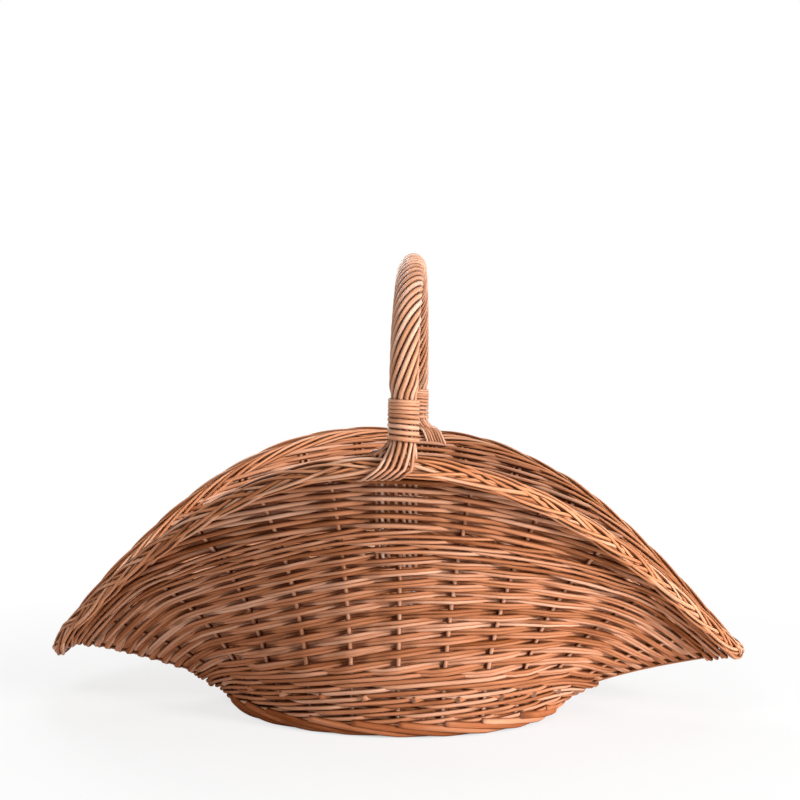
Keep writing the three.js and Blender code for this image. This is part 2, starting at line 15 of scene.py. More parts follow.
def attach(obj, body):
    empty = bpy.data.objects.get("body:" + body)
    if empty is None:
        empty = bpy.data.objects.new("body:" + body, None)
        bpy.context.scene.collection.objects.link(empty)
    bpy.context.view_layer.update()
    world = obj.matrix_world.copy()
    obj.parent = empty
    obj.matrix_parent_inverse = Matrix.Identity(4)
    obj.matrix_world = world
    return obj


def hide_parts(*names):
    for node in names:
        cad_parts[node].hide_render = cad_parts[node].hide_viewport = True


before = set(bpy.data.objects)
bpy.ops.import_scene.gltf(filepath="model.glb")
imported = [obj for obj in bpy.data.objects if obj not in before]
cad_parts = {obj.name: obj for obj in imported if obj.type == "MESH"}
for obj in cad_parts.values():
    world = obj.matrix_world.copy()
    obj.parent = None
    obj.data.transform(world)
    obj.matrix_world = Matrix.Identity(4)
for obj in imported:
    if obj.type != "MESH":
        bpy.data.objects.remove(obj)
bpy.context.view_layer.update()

bl_info = {
    "name": "Wicker Firewood Basket",
    "version": (1, 0, 0),
    "blender": (4, 5, 0),
    "location": "View3D > Sidebar > Basket",
    "description": "Weaves a willow log basket rod by rod over its frame",
    "category": "Add Mesh",
}

# Angles: a full turn, and the middles of the back and the front.
TURN = 2 * math.pi
BACK, FRONT = 0.25 * TURN, 0.75 * TURN
# Directions: up, along the basket, and a factor that makes a direction level.
UP, ALONG, LEVEL = np.array([0, 0, 1.0]), np.array([1.0, 0, 0]), np.array([1, 1, 0])
# Step for slopes, points up a wall, points from stake to stake, and sides of a thin rod.
SLOPE_STEP, RUN_STEPS, STEPS, SIDES = 1e-4, 80, 10, 8
# Control values of the wall's curve from the foot to the rim: shares outwards and of the rim's height.
FLARE_OUT, FLARE_UP = (0, 0.075, 0.44, 1), (0, 0.4, 0.735, 1)
# Share of the border's depth that covers the wall's top, and the least share that rows are squeezed to.
BORDER_LAP, MOST_SQUEEZE = 0.27, 0.8
# Width of the bell that marks the tips on the border.
TIP_WIDTH = 0.12
# Rises and dips of the back border, made by hand: place along X, half width and height.
BACK_RISE = ((-0.07, 0.075, 0.0042), (0.145, 0.05, -0.0028), (-0.27, 0.07, -0.0030))
# Share of the border's width and depth that the handle's fans lie round.
FAN_WIDE, FAN_DEEP = 0.9, 0.82
# Seed of each piece's random numbers.
SEEDS = {
    "stakes": 11, "lower": 12, "upsett": 13, "mid": 14, "front": 15, "back": 16, "plait": 17, "foot": 18,
    "base": 19, "ropes": 20, "bow": 21, "bindings": 22, "border": 27,
}
# Material, spread of the tones, gloss and sharpness of the painted shade along the sides of each kind of rod.
WILLOWS = {
    "wall": ("willow_wall", 0.4, 0.0, 4.2),
    "foot": ("foot_rods", 0.4, 0.0, 4.2),
    "rim": ("willow_rim", 0.26, 0.1, 3.2),
    "handle": ("willow_handle", 0.28, 0.2, 3.2),
}
CUT_END = "willow_cut_end"


def number(name, description, default, **kind):
    """Number property, whose unit or subtype is in kind."""
    return FloatProperty(name=name, description=description, default=default, min=0, **kind)


def distance(name, description, default):
    """Length property in metres."""
    return number(name, description, default, precision=4, unit="LENGTH", subtype="DISTANCE")


def share(name, description, default):
    """Share or factor property without a unit."""
    return number(name, description, default, soft_max=2, subtype="FACTOR")


def degrees(name, description, default):
    """Angle property, given in degrees and kept in radians."""
    return number(name, description, math.radians(default), subtype="ANGLE", unit="ROTATION")


def power(name, description, default):
    """Lamp property in watts."""
    return number(name, description, default, unit="POWER")


def count(name, description, default):
    """Whole number property."""
    return IntProperty(name=name, description=description, default=default, min=1)


def tint(name, description, default):
    """Linear colour property."""
    return FloatVectorProperty(
        name=name, description=description, default=default, size=3, min=0, max=1, subtype="COLOR",
    )


class BASKET_PG_form(bpy.types.PropertyGroup):
    """Shape of the wall, the rim and the foot."""

    rim_length: distance("Rim Length", "Between the two tips", 0.688)
    rim_width: distance("Rim Width", "Front to back at the rim", 0.486)
    rim_height: distance("Rim Height", "In the middle of the front and back", 0.262)
    tip_height: distance("Tip Height", "Rim line at the tips", 0.060)
    tip_sharpness: share("Tip Sharpness", "0 is round and nearly 1 is pointed", 0.98)
    tip_dip: share("Tip Dip", "How gently the rim turns up from a tip", 0.2)
    rim_fullness: share("Rim Fullness", "Fuller sides than an ellipse, from above", 0.2)
    front_swell: share("Front Swell", "How full the front rim's arch is", 1.0)
    back_swell: share("Back Swell", "How full the back rim's arch is", 1.41)
    back_skew: share("Back Skew", "How much fuller it is towards -X", 0.16)
    foot_length: distance("Foot Length", "Outside the foot border", 0.336)
    foot_width: distance("Foot Width", "Outside the foot border", 0.300)
    foot_height: distance("Foot Height", "Height of the foot border", 0.012)
    foot_inset: distance("Foot Inset", "Middle of the wall inside the foot border's outer edge", 0.008)
    border_width: distance("Border Width", "Rim border across the wall", 0.025)
    border_depth: distance("Border Depth", "Rim border along the wall", 0.021)
    border_roll: distance("Border Roll", "Border's middle outside the wall's middle", 0.004)


class BASKET_PG_weave(bpy.types.PropertyGroup):
    """Rods of the wall, the borders and the base."""

    stakes: count("Stakes", "Upright rods round the basket", 24)
    stake_lean: number("Stake Lean", "Turn of the stakes towards +X", 0.045, subtype="ANGLE", unit="ROTATION")
    stake: distance("Stake", "Diameter of a stake", 0.0048)
    upsett_share: share("Upsett Top", "Share of the wall's length in the middle of the front", 0.216)
    lower_share: share("Lower Top", "Share of the wall's length in the middle of the front", 0.655)
    mid_share: share("Mid Top", "Share of the wall's length in the middle of the front", 0.746)
    mid_tip_share: share("Mid Top at Tips", "The same edge at the tips", 0.627)
    panel_reach: count("Panel Reach", "Stakes from the middle of a panel to its end", 4)
    levels: count("Levels", "Rows of the lower weave", 18)
    weaver: distance("Weaver", "Diameter of a lower weaver", 0.0039)
    packer: distance("Packer", "Diameter of an upper weaver", 0.0046)
    foot_rod: distance("Foot Rod", "Diameter of a rod in the foot border", 0.0070)
    rim_rod: distance("Rim Rod", "Diameter of a rod in the rim border", 0.0038)
    plaits: count("Plaits", "Full turns of a strand round the rim", 6)
    base_rod: distance("Base Rod", "Diameter of a base weaver", 0.0046)


class BASKET_PG_handle(bpy.types.PropertyGroup):
    """Bow, rope rods and bindings."""

    height: distance("Handle Height", "Top of the roped handle", 0.459)
    shift: distance("Handle Shift", "Handle's plane from the middle towards +X", 0.012)
    leg_out: distance("Leg Out", "Bound leg outside the rim line", 0.009)
    neck_height: distance("Neck Height", "Lower end of a binding above the rim line", 0.0168)
    bow: distance("Bow", "Diameter of the bow inside the rope", 0.014)
    bow_foot: distance("Bow Foot", "Diameter of the bow in the wall", 0.0046)
    rope_rods: count("Rope Rods", "Rods wound round the bow", 12)
    rope_rod: distance("Rope Rod", "Diameter along the arch", 0.0048)
    rope_root: distance("Rope Root", "Diameter in the wall", 0.0040)
    rope_tip: distance("Rope Tip", "Diameter over the border", 0.0034)
    rope_ring: distance("Rope Ring", "Rope rods' middle from the bow's middle", 0.0104)
    bound_ring: distance("Bound Ring", "The same under a binding", 0.0090)
    rope_turns: number("Rope Turns", "Turns of a rod over the arch", 3.5)
    binding_rod: distance("Binding Band", "Width of the binding", 0.0042)
    binding_turns: count("Binding Turns", "Turns of one binding", 9)
    binding_pitch: distance("Binding Pitch", "Height of one turn", 0.0040)
    root_first: distance("First Root", "Root nearest to the bow", 0.0069)
    root_pitch: distance("Root Pitch", "Spacing of the roots", 0.0052)
    root_shift: distance("Root Shift", "Roots from the handle's plane towards -X", 0.0065)
    fan_shift: distance("Fan Shift", "How far a fan slants sideways", 0.023)
    fan_pitch: distance("Fan Pitch", "Spacing of a fan's ends", 0.0064)


class BASKET_PG_finish(bpy.types.PropertyGroup):
    """Willow colours, from the darkest rod to the palest, and the floor."""

    wall_deep: tint("Wall Deep", "Darkest wall rods", (0.205, 0.052, 0.011))
    wall_mid: tint("Wall Middle", "Most wall rods", (0.535, 0.216, 0.106))
    wall_pale: tint("Wall Pale", "Palest wall rods", (0.825, 0.500, 0.350))
    foot_mid: tint("Foot Middle", "Most foot rods", (0.430, 0.145, 0.060))
    foot_pale: tint("Foot Pale", "Palest foot rods", (0.720, 0.370, 0.220))
    rim_deep: tint("Rim Deep", "Darkest rods of the border and the handle", (0.260, 0.072, 0.018))
    rim_mid: tint("Rim Middle", "Most border rods", (0.690, 0.275, 0.125))
    rim_pale: tint("Rim Pale", "Palest border rods", (0.960, 0.670, 0.490))
    handle_mid: tint("Handle Middle", "Most handle rods", (0.670, 0.312, 0.172))
    handle_pale: tint("Handle Pale", "Palest handle rods", (0.960, 0.700, 0.560))
    cut_wood: tint("Cut Wood", "Cut ends of rods", (0.500, 0.270, 0.170))
    floor: tint("Floor", "Studio floor", (0.86, 0.86, 0.86))


class BASKET_PG_stage(bpy.types.PropertyGroup):
    """Camera and lamps."""

    lens: number("Lens", "Focal length on a 36 mm frame", 65.9, unit="CAMERA")
    away: distance("Away", "Camera from the basket's middle", 1.5)
    camera_height: distance("Camera Height", "Camera above the floor", 0.345)
    aside: degrees("Aside", "How far the camera stands to the right", 2.0)
    down: degrees("Down", "How far the camera looks down", 1.32)
    roll: degrees("Roll", "How far the camera leans to the left", 0.9)
    key: power("Key Lamp", "Lamp at the right", 69.0)
    fill: power("Fill Lamp", "Lamp at the left", 12.0)
    top: power("Top Lamp", "Lamp above", 6.0)
    back: power("Back Lamp", "Lamp behind", 16.0)
    ambient: share("Ambient", "Strength of the room's light", 0.06)


def form():
    """Values of the basket's shape."""
    return bpy.context.scene.basket_form


def weave():
    """Values of the weave."""
    return bpy.context.scene.basket_weave


def grip():
    """Values of the handle."""
    return bpy.context.scene.basket_handle


def finish():
    """Colours."""
    return bpy.context.scene.basket_finish


def seeded(piece):
    """Random numbers of one piece, the same in each run."""
    return np.random.default_rng(SEEDS[piece])


def unit(vectors):
    """Vectors divided by their lengths."""
    return vectors / np.linalg.norm(vectors, axis=-1, keepdims=True)


def xyz(x, y, z):
    """Points from three coordinates, each of them an array or a number."""
    return np.stack(np.broadcast_arrays(x, y, z), axis=-1)


def join(*paths):
    """Paths put end to end."""
    return np.concatenate(paths, axis=-2)


def moved(points, *moves):
    """Points moved by distances along directions."""
    for distances, directions in moves:
        points = points + np.asarray(distances)[..., None] * directions
    return points


def spans(points):
    """Lengths between neighbouring points of paths."""
    return np.linalg.norm(np.diff(points, axis=-2), axis=-1)


def running(steps):
    """Running sums from 0."""
    return np.concatenate([np.zeros_like(steps[..., :1]), np.cumsum(steps, axis=-1)], axis=-1)


def ramp(value, low, high):
    """Share of the way from low to high, kept between 0 and 1."""
    return np.clip((value - low) / (high - low), 0, 1)


def smooth(t):
    """Share eased at both ends: 3t^2 - 2t^3."""
    return t**2 * (3 - 2 * t)


def bell(value, wide):
    """Gaussian: e to the minus square of value over width."""
    return np.exp(-((value / wide) ** 2))


def tipward(angle):
    """0 in the middle of the front and back and 1 at the tips: the cosine without its sign."""
    return np.abs(np.cos(angle))


def cubic(controls, t):
    """Cubic curve: its four control values weighted by (1-t)^3, 3t(1-t)^2, 3t^2(1-t) and t^3."""
    a, b, c, d = controls
    return a * (1 - t) ** 3 + 3 * b * (1 - t) ** 2 * t + 3 * c * (1 - t) * t**2 + d * t**3


def rim_point(angle):
    """Rim line: x by an arcsine of the cosine, which points the tips, y by sine and its cube, and a height
    that rises as a hyperbola from each tip to the middle of the front and back, made fuller by a power.
    """
    f = form()
    side = np.sin(angle)
    along = np.arcsin(f.tip_sharpness * np.cos(angle)) / math.asin(f.tip_sharpness)
    across = (1 - f.rim_fullness) * side + f.rim_fullness * side**3
    rise = (np.hypot(side, f.tip_dip) - f.tip_dip) / (math.hypot(1, f.tip_dip) - f.tip_dip)
    swell = np.where(side < 0, f.front_swell, f.back_swell - f.back_skew * np.cos(angle))
    lift = 1 - np.maximum(1 - rise, 0) ** swell
    height = f.tip_height + (f.rim_height - f.tip_height) * lift
    return xyz(f.rim_length / 2 * along, f.rim_width / 2 * across, height)


def rim_angle(x, at_front):
    """Angle of the place on the front or back rim at x: the rim line's arcsine turned round."""
    f = form()
    cosine = np.sin(x / (f.rim_length / 2) * math.asin(f.tip_sharpness)) / f.tip_sharpness
    return TURN - np.arccos(cosine) if at_front else np.arccos(cosine)


def stake_angle(place):
    """Angle of a stake, or of a place between stakes: equal steps, less the lean times the angle's sine."""
    w = weave()
    even = place / w.stakes * TURN
    return even - w.stake_lean * np.sin(even)


def base_point(angle):
    """Ellipse on the floor under the middle of the wall."""
    f = form()
    x = (f.foot_length / 2 - f.foot_inset) * np.cos(angle)
    y = (f.foot_width / 2 - f.foot_inset) * np.sin(angle)
    return xyz(x, y, 0)


def wall_point(angle, part):
    """Middle of the wall: foot and rim points mixed by one cubic, with the height from another."""
    rim = rim_point(angle)
    out = cubic(FLARE_OUT, part)[..., None]
    point = base_point(angle) * (1 - out) + rim * out
    point[..., 2] = rim[..., 2] * cubic(FLARE_UP, part)
    return point


def wall_frame(angle, part):
    """Point of the wall and its directions out and up: cross product of two small differences."""
    around = wall_point(angle + SLOPE_STEP, part) - wall_point(angle - SLOPE_STEP, part)
    up = unit(wall_point(angle, part + SLOPE_STEP) - wall_point(angle, part - SLOPE_STEP))
    return wall_point(angle, part), unit(np.cross(around, up)), up


def wall_runs(angle):
    """Running length up the wall over equal parts of its curve."""
    return running(spans(wall_point(np.asarray(angle)[..., None], np.linspace(0, 1, RUN_STEPS + 1))))


def wall_length(angle):
    """Length of the wall from the floor to the rim line."""
    return wall_runs(angle)[..., -1]


def on_wall(angle, length, out=0.0):
    """Point at a length up the wall and a distance outwards, with the outward direction: the length is looked
    up in the running lengths.
    """
    runs = wall_runs(angle)
    i = np.clip(np.sum(runs < length[..., None], axis=-1), 1, RUN_STEPS)[..., None]
    low = np.take_along_axis(runs, i - 1, -1)[..., 0]
    high = np.take_along_axis(runs, i, -1)[..., 0]
    part = (i[..., 0] - 1 + (length - low) / (high - low)) / RUN_STEPS
    point, outward, _ = wall_frame(angle, part)
    return moved(point, (out, outward)), outward


def front_row(part):
    """Row at a share of the wall's length in the middle of the front."""
    return part * float(wall_length(FRONT))


def wall_top(angle):
    """Upper edge of the wall, under the rim border."""
    return wall_length(angle) - BORDER_LAP * form().border_depth


def mid_top(angle):
    """Upper edge of the mid wale: eased by the sine's fourth power, and mixed smoothly with the wall's top
    towards the tips.
    """
    w = weave()
    near, at = 0.80, 0.94
    tip, middle = front_row(w.mid_tip_share), front_row(w.mid_share)
    eased = tip + (middle - tip) * np.sin(angle) ** 4
    top = wall_top(angle)
    return np.minimum(eased + np.maximum(top - eased, 0) * smooth(ramp(tipward(angle), near, at)), top)


def row_length(angle, row):
    """Length up the wall of a row: in proportion to the mid wale's upper edge."""
    return row * mid_top(angle) / front_row(weave().mid_share)


def squeeze(angle):
    """How much the rows are beaten together at an angle."""
    return np.clip(row_length(angle, 1.0), MOST_SQUEEZE, 1.0)


def border_point(angle, out, up):
    """Point of the rim border, outwards and upwards from its middle, with its outward direction."""
    point, outward, upward = wall_frame(angle, np.ones_like(angle))
    return moved(point, (form().border_roll + np.asarray(out), outward), (up, upward)), outward


def wander(rng, shape, knots, size):
    """Slow random drift along each rod: three sine waves of random pace and phase."""
    paces, calm, slowest = np.array([0.5, 1.0, 1.7]), 1.7, 0.3
    rods, steps = shape
    t = np.linspace(0, TURN, steps)[None, :, None]
    waves = rng.uniform(slowest, 1, (rods, 1, 3)) * knots * paces
    phases = rng.uniform(0, TURN, (rods, 1, 3))
    return size / calm * np.sum(np.sin(waves * t + phases), axis=-1)


def ripple(place, period, knots, values, width=0.3):
    """Repeating profile through knots, rounded by the mean of seven shifted copies."""
    shifts = np.linspace(-width, width, 7)
    return np.mean([np.interp((place + s) % period, knots, values) for s in shifts], axis=0)


def tubes(paths, outs, radii, sides, rng, closed=False, flat=1.0):
    """Rods: ring point = path + radius (flat cos v side + sin v other), where side is the outward direction
    made square to the path and other is square to both. UVs are metres along the rod and turns round it, from
    a random start, and each rod has a random tone.
    """
    start_range = 9
    rods, steps = paths.shape[:2]
    if closed:
        tangent = unit(np.roll(paths, -1, axis=1) - np.roll(paths, 1, axis=1))
    else:
        tangent = unit(np.gradient(paths, axis=1))
    side = unit(outs - np.sum(outs * tangent, axis=-1, keepdims=True) * tangent)
    other = np.cross(tangent, side)
    turn = (math.pi + np.arange(sides) / sides * TURN)[:, None]
    ring = flat * np.cos(turn) * side[:, :, None] + np.sin(turn) * other[:, :, None]
    points = paths[:, :, None] + np.broadcast_to(radii, (rods, steps))[:, :, None, None] * ring
    lengths = steps if closed else steps - 1
    r, i, j = np.meshgrid(np.arange(rods), np.arange(lengths), np.arange(sides), indexing="ij")

    def corner(a, b):
        return (r * steps + a % steps) * sides + b % sides

    quads = np.stack([corner(i, j), corner(i, j + 1), corner(i + 1, j + 1), corner(i + 1, j)], axis=-1)
    run = running(spans(join(paths, paths[:, :1]))) + rng.uniform(0, start_range, (rods, 1))
    u1, u2 = run[r, i], run[r, i + 1]
    v1, v2 = j / sides, (j + 1) / sides
    uv = np.stack([u1, v1, u1, v2, u2, v2, u2, v1], axis=-1)
    first = np.arange(rods)[:, None] * steps * sides
    loop = np.arange(sides)[None]
    caps = np.zeros((0, sides), int)
    if not closed:
        caps = np.concatenate([first + loop[:, ::-1], first + (steps - 1) * sides + loop])
    return {
        "points": points.reshape(-1, 3),
        "quads": quads.reshape(-1, 4),
        "uv": uv.reshape(-1, 2),
        "caps": caps,
        "tone": np.repeat(rng.uniform(0, 1, rods), steps * sides),
    }


def build(name, parts, nodes, kind):
    """One mesh object from several sets of rods of one kind, which stands for the CAD nodes. The quads come
    first and then the flat ends, which have the second material.
    """
    starts = np.cumsum([0] + [len(part["points"]) for part in parts])
    loops, sizes = [], []
    for faces in ("quads", "caps"):
        for part, start in zip(parts, starts):
            loops.append((part[faces] + start).ravel())
            sizes.append(np.full(*part[faces].shape))
    loops, sizes = np.concatenate(loops), np.concatenate(sizes)
    is_cap = np.arange(len(sizes)) >= sum(len(part["quads"]) for part in parts)
    points, uv, tone = (np.concatenate([part[key] for part in parts]) for key in ("points", "uv", "tone"))
    uv = np.concatenate([uv, np.zeros((len(loops) - len(uv), 2))])
    mesh = bpy.data.meshes.new(name)
    mesh.vertices.add(len(points))
    mesh.vertices.foreach_set("co", points.ravel())
    mesh.loops.add(len(loops))
    mesh.loops.foreach_set("vertex_index", loops.astype(np.int32))
    mesh.polygons.add(len(sizes))
    mesh.polygons.foreach_set("loop_start", running(sizes)[:-1].astype(np.int32))
    mesh.update(calc_edges=True)
    for material in rod_finish(kind):
        mesh.materials.append(material)
    mesh.polygons.foreach_set("use_smooth", ~is_cap)
    mesh.polygons.foreach_set("material_index", is_cap.astype(np.int32))
    mesh.uv_layers.new(name="rod").data.foreach_set("uv", uv.ravel())
    mesh.attributes.new("tone", "FLOAT", "POINT").data.foreach_set("value", tone)
    mesh.update()
    piece = bpy.data.objects.new(name, mesh)
    bpy.context.scene.collection.objects.link(piece)
    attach(piece, "root")
    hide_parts(*nodes)


def node(tree, kind, *links, **values):
    """New shader node with values on its own settings and links or values on its inputs."""
    made = tree.nodes.new(kind)
    for name, value in values.items():
        setattr(made, name, value)
    for place, source in links:
        if isinstance(source, bpy.types.NodeSocket):
            tree.links.new(source, made.inputs[place])
        else:
            made.inputs[place].default_value = source
    return made


def maths(tree, kind, a, b=0.0):
    """Result of an operation on two values. Some kinds use only the first."""
    return node(tree, "ShaderNodeMath", (0, a), (1, b), operation=kind).outputs[0]


def map_range(tree, value, low, high, to_low=0.0, to_high=1.0):
    """Value between low and high carried over to a place between to_low and to_high."""
    links = (0, value), (1, low), (2, high), (3, to_low), (4, to_high)
    return node(tree, "ShaderNodeMapRange", *links).outputs[0]


def mix_colour(tree, amount, first, second):
    """First colour mixed with an amount of the second."""
    return node(tree, "ShaderNodeMix", (0, amount), (6, first), (7, second), data_type="RGBA").outputs[2]


def shaded(colour, part=1.0):
    """Colour times a part, with full opacity."""
    return (*[c * part for c in colour], 1)


def new_material(name):
    """New material, its nodes and its shader."""
    material = bpy.data.materials.new(name)
    material.use_nodes = True
    return material, material.node_tree, material.node_tree.nodes["Principled BSDF"]


def willow(name, colours, variety, gloss, sharp):
    """Willow rod: colour from the rod's own tone, slow patches and long streaks, with darker knots, painted
    shade on the sides where it lies against its neighbours, a satin roughness and a fine lengthwise grain.
    """
    tone_spread, patch_part, streak_part, balance = 61.0, 0.7, 0.4, 0.05
    deep_stop, middle_stop, pale_stop = 0.12, 0.5, 0.92
    knot_part, painted_side_shade_part, dark_part = 0.5, 0.95, 0.35
    grain_height, streak_height, strength, depth = 0.6, 0.8, 0.35, 0.0008
    deep, middle, pale = colours
    material, tree, shader = new_material(name)
    uv = node(tree, "ShaderNodeUVMap", uv_map="rod").outputs[0]
    along, around, _ = node(tree, "ShaderNodeSeparateXYZ", (0, uv)).outputs
    tone = node(tree, "ShaderNodeAttribute", attribute_name="tone").outputs["Fac"]

    def times(a, b):
        return maths(tree, "MULTIPLY", a, b)

    def noise(along_scale, around_scale, detail):
        x, y, z = times(along, along_scale), times(around, around_scale), times(tone, tone_spread)
        place = node(tree, "ShaderNodeCombineXYZ", (0, x), (1, y), (2, z)).outputs[0]
        return node(tree, "ShaderNodeTexNoise", (0, place), ("Scale", 1.0), ("Detail", detail)).outputs[0]

    patches, streaks, grain = noise(7.0, 0.6, 2.0), noise(26.0, 7.0, 3.0), noise(90.0, 22.0, 2.0)
    mixed = maths(tree, "ADD", times(tone, variety), times(patches, patch_part))
    mixed = maths(tree, "ADD", mixed, times(streaks, streak_part))
    colour = node(tree, "ShaderNodeValToRGB", (0, maths(tree, "SUBTRACT", mixed, balance + variety / 2)))
    stops = colour.color_ramp.elements
    stops[0].position, stops[0].color = deep_stop, shaded(deep)
    stops[1].position, stops[1].color = pale_stop, shaded(pale)
    stops.new(middle_stop).color = shaded(middle)
    knots = map_range(tree, noise(14.0, 0.3, 0.0), 0.70, 0.78, 0.0, knot_part)
    # Painted shade: the colour turns towards the deep colour on the rod's sides, where it lies against its
    # neighbours.
    sides = maths(tree, "ABSOLUTE", maths(tree, "SINE", times(around, TURN)))
    painted_side_shade = times(maths(tree, "POWER", sides, sharp), painted_side_shade_part)
    knot_and_painted_shade = maths(tree, "MAXIMUM", knots, painted_side_shade)
    base = mix_colour(tree, knot_and_painted_shade, colour.outputs[0], shaded(deep, dark_part))
    tree.links.new(base, shader.inputs["Base Color"])
    tree.links.new(map_range(tree, streaks, 0.3, 0.7, 0.36, 0.52), shader.inputs["Roughness"])
    shader.inputs["Specular IOR Level"].default_value = gloss
    height = maths(tree, "ADD", times(grain, grain_height), times(streaks, streak_height))
    bump = node(tree, "ShaderNodeBump", ("Height", height), ("Strength", strength), ("Distance", depth))
    tree.links.new(bump.outputs[0], shader.inputs["Normal"])
    return material


def cut_wood(name):
    """Cut end of a rod: pale wood with fine darker spots."""
    spot_scale, dark_part, roughness = 900.0, 0.55, 0.75
    material, tree, shader = new_material(name)
    place = node(tree, "ShaderNodeTexCoord").outputs["Object"]
    spots = node(tree, "ShaderNodeTexNoise", (0, place), ("Scale", spot_scale), ("Detail", 2.0)).outputs[0]
    pale = finish().cut_wood
    base = mix_colour(tree, spots, shaded(pale), shaded(pale, dark_part))
    tree.links.new(base, shader.inputs["Base Color"])
    shader.inputs["Roughness"].default_value = roughness
    return material


def rod_finish(kind):
    """Materials of a kind of rod and of its cut ends: the foot is darker than the wall, and the rim warmer
    than the handle.
    """
    c = finish()
    colours = {
        "wall": (c.wall_deep, c.wall_mid, c.wall_pale),
        "foot": (c.wall_deep, c.foot_mid, c.foot_pale),
        "rim": (c.rim_deep, c.rim_mid, c.rim_pale),
        "handle": (c.rim_deep, c.handle_mid, c.handle_pale),
    }
    name, *look = WILLOWS[kind]
    ready = bpy.data.materials.get
    return ready(name) or willow(name, colours[kind], *look), ready(CUT_END) or cut_wood(CUT_END)


def stake_rods():
    """Stakes: straight up the middle of the wall at equal angles, from the foot border into the rim border,
    thicker at the tips, with a short second rod beside the upper end of each back stake.
    """
    w, f = weave(), form()
    rng = seeded("stakes")
    lap, thick, taper, tip_size = 0.008, 1.05, 0.12, 1.6
    painted_light_least_tone, tone_range = 0.7, 0.3
    beside, second_length, second_size = 0.1, 0.045, 0.8

    def top(angle):
        return wall_length(angle) - f.border_depth / 2 + lap

    half = w.stakes // 2
    index = np.arange(w.stakes)[:, None]
    t = np.linspace(0, 1, 40)[None]
    angle = stake_angle(index) + 0 * t
    under_handle = index % half == half // 2
    low = f.foot_height - lap
    high = np.where(under_handle, front_row(w.mid_share), top(angle))
    points, outs = on_wall(angle, low + (high - low) * t)
    size = w.stake / 2 * (thick - taper * t) * np.where(index % half == 0, tip_size, 1.0)
    stakes = tubes(points, outs, size, SIDES, rng)
    # Painted light: stakes get only the paler part of the tones, which stands in for light on the recessed
    # stakes.
    stakes["tone"] = painted_light_least_tone + tone_range * stakes["tone"]
    at_back = index[(index > 0) & (index < half) & ~under_handle][:, None]
    t = np.linspace(0, 1, 12)[None]
    angle = stake_angle(at_back + beside) + 0 * t
    points, outs = on_wall(angle, top(angle) - second_length * (1 - t))
    second = tubes(points, outs, w.stake / 2 * second_size, SIDES, rng)
    names = [f"stake_{i + 1:02d}" for i in range(w.stakes)]
    build("upright_stakes", [stakes, second], names, "wall")


def bundle_warp(place, half):
    """Stake count with the bundle in the middle of the front and back counted as one wide stake."""
    quarter = weave().stakes / 4
    middle = np.round((place - quarter) / (2 * quarter)) * 2 * quarter + quarter
    off = place - middle
    inside = np.sign(off) * ramp(np.abs(off), half, 1)
    return np.where(np.abs(off) < 1, middle + inside, place)


def bulge(passed):
    """Swing of a weaver by the stakes passed: a cosine to the power 1.5 with its sign kept, so a rod lies
    near the middle of the wall between stakes.
    """
    swing = np.cos(math.pi * passed)
    return np.sign(swing) * np.abs(swing) ** 1.5


def round_keel(points, angle):
    """Rods rounded where they turn the edge under a tip: twice mixed with the mean of their neighbours."""
    near = ramp(tipward(angle), 0.96, 0.99)[..., None] / 2
    for _ in range(2):
        mean = (np.roll(points, 1, axis=1) + np.roll(points, -1, axis=1)) / 2
        mean[:, 0], mean[:, -1] = points[:, 0], points[:, -1]
        points = points + near * (mean - points)
    return points


def lower_weave():
    """French rand in pairs: from each stake two rods side by side climb one level per stake, in front of one
    and behind the next, where they are pushed down on the pair in front. The swing's own drop on the leaning
    wall is taken off, so that each stroke is straight. The levels get lower as the rods taper.
    """
    w = weave()
    rng = seeded("lower")
    first, last, lead_in, lead_out = -0.3, w.levels - 0.7, 1.0, 0.15
    taller, press, tip_pull = 0.2, 0.0004, 0.003
    push_down, lean = 0.3, 0.6
    thick, thin, uneven, squeezed = 1.12, 0.92, 0.06, 0.4
    full, back_full, tip_full = 1.08, 0.06, 0.2
    low, high = front_row(w.upsett_share), front_row(w.lower_share)
    start = np.repeat(np.arange(w.stakes), 2)[:, None]
    lane = np.tile([-0.5, 0.5], w.stakes)[:, None]
    stroke = np.arange(first - lead_in, last + lead_out, 1 / STEPS)[None]
    angle = stake_angle(start + stroke)
    tip = tipward(angle)
    drift = wander(rng, angle.shape, 7, 0.00025)
    rise = (np.clip(stroke, first, last) + 0.5) / w.levels
    row = low + (high - low) * rise * (1 + taller - taller * rise)
    beside = w.weaver * np.interp(tip, [0.93, 0.99], [0.94, 0.8])
    row = row + lane * beside + drift
    bundle = np.interp(stroke, w.levels - np.array([9, 7, 4]), [0, 0.14, 0.26])
    reach = (w.stake + w.weaver) / 2 - press
    passed = bundle_warp(start + stroke, bundle) - start
    swing = bulge(passed)
    straight = 2 * np.abs(1 - passed % 2) - 1
    pitch = (high - low) / w.levels
    row = row - push_down * pitch * (1 - straight) / 2 + lean * reach * (swing - straight)
    near_tip = np.interp(tip, [0.75, 1], [1, 0.72])
    out = reach * near_tip * swing - tip_pull * ramp(np.cos(angle), 0.9, 1)
    out = out + wander(rng, out.shape, 12, 0.0002)
    points, outs = on_wall(angle, row_length(angle, row), out)
    size = w.weaver / 2 * np.linspace(thick, thin, stroke.size)[None] * rng.normal(1, uneven, (len(start), 1))
    size = size * (full + back_full * ramp(np.sin(angle), 0, 0.5) + tip_full * ramp(tip, 0.85, 0.95))
    part = tubes(round_keel(points, angle), outs, size * squeeze(angle) ** squeezed, SIDES, rng)
    build("lower_randing", [part], ["lower_weave"], "wall")


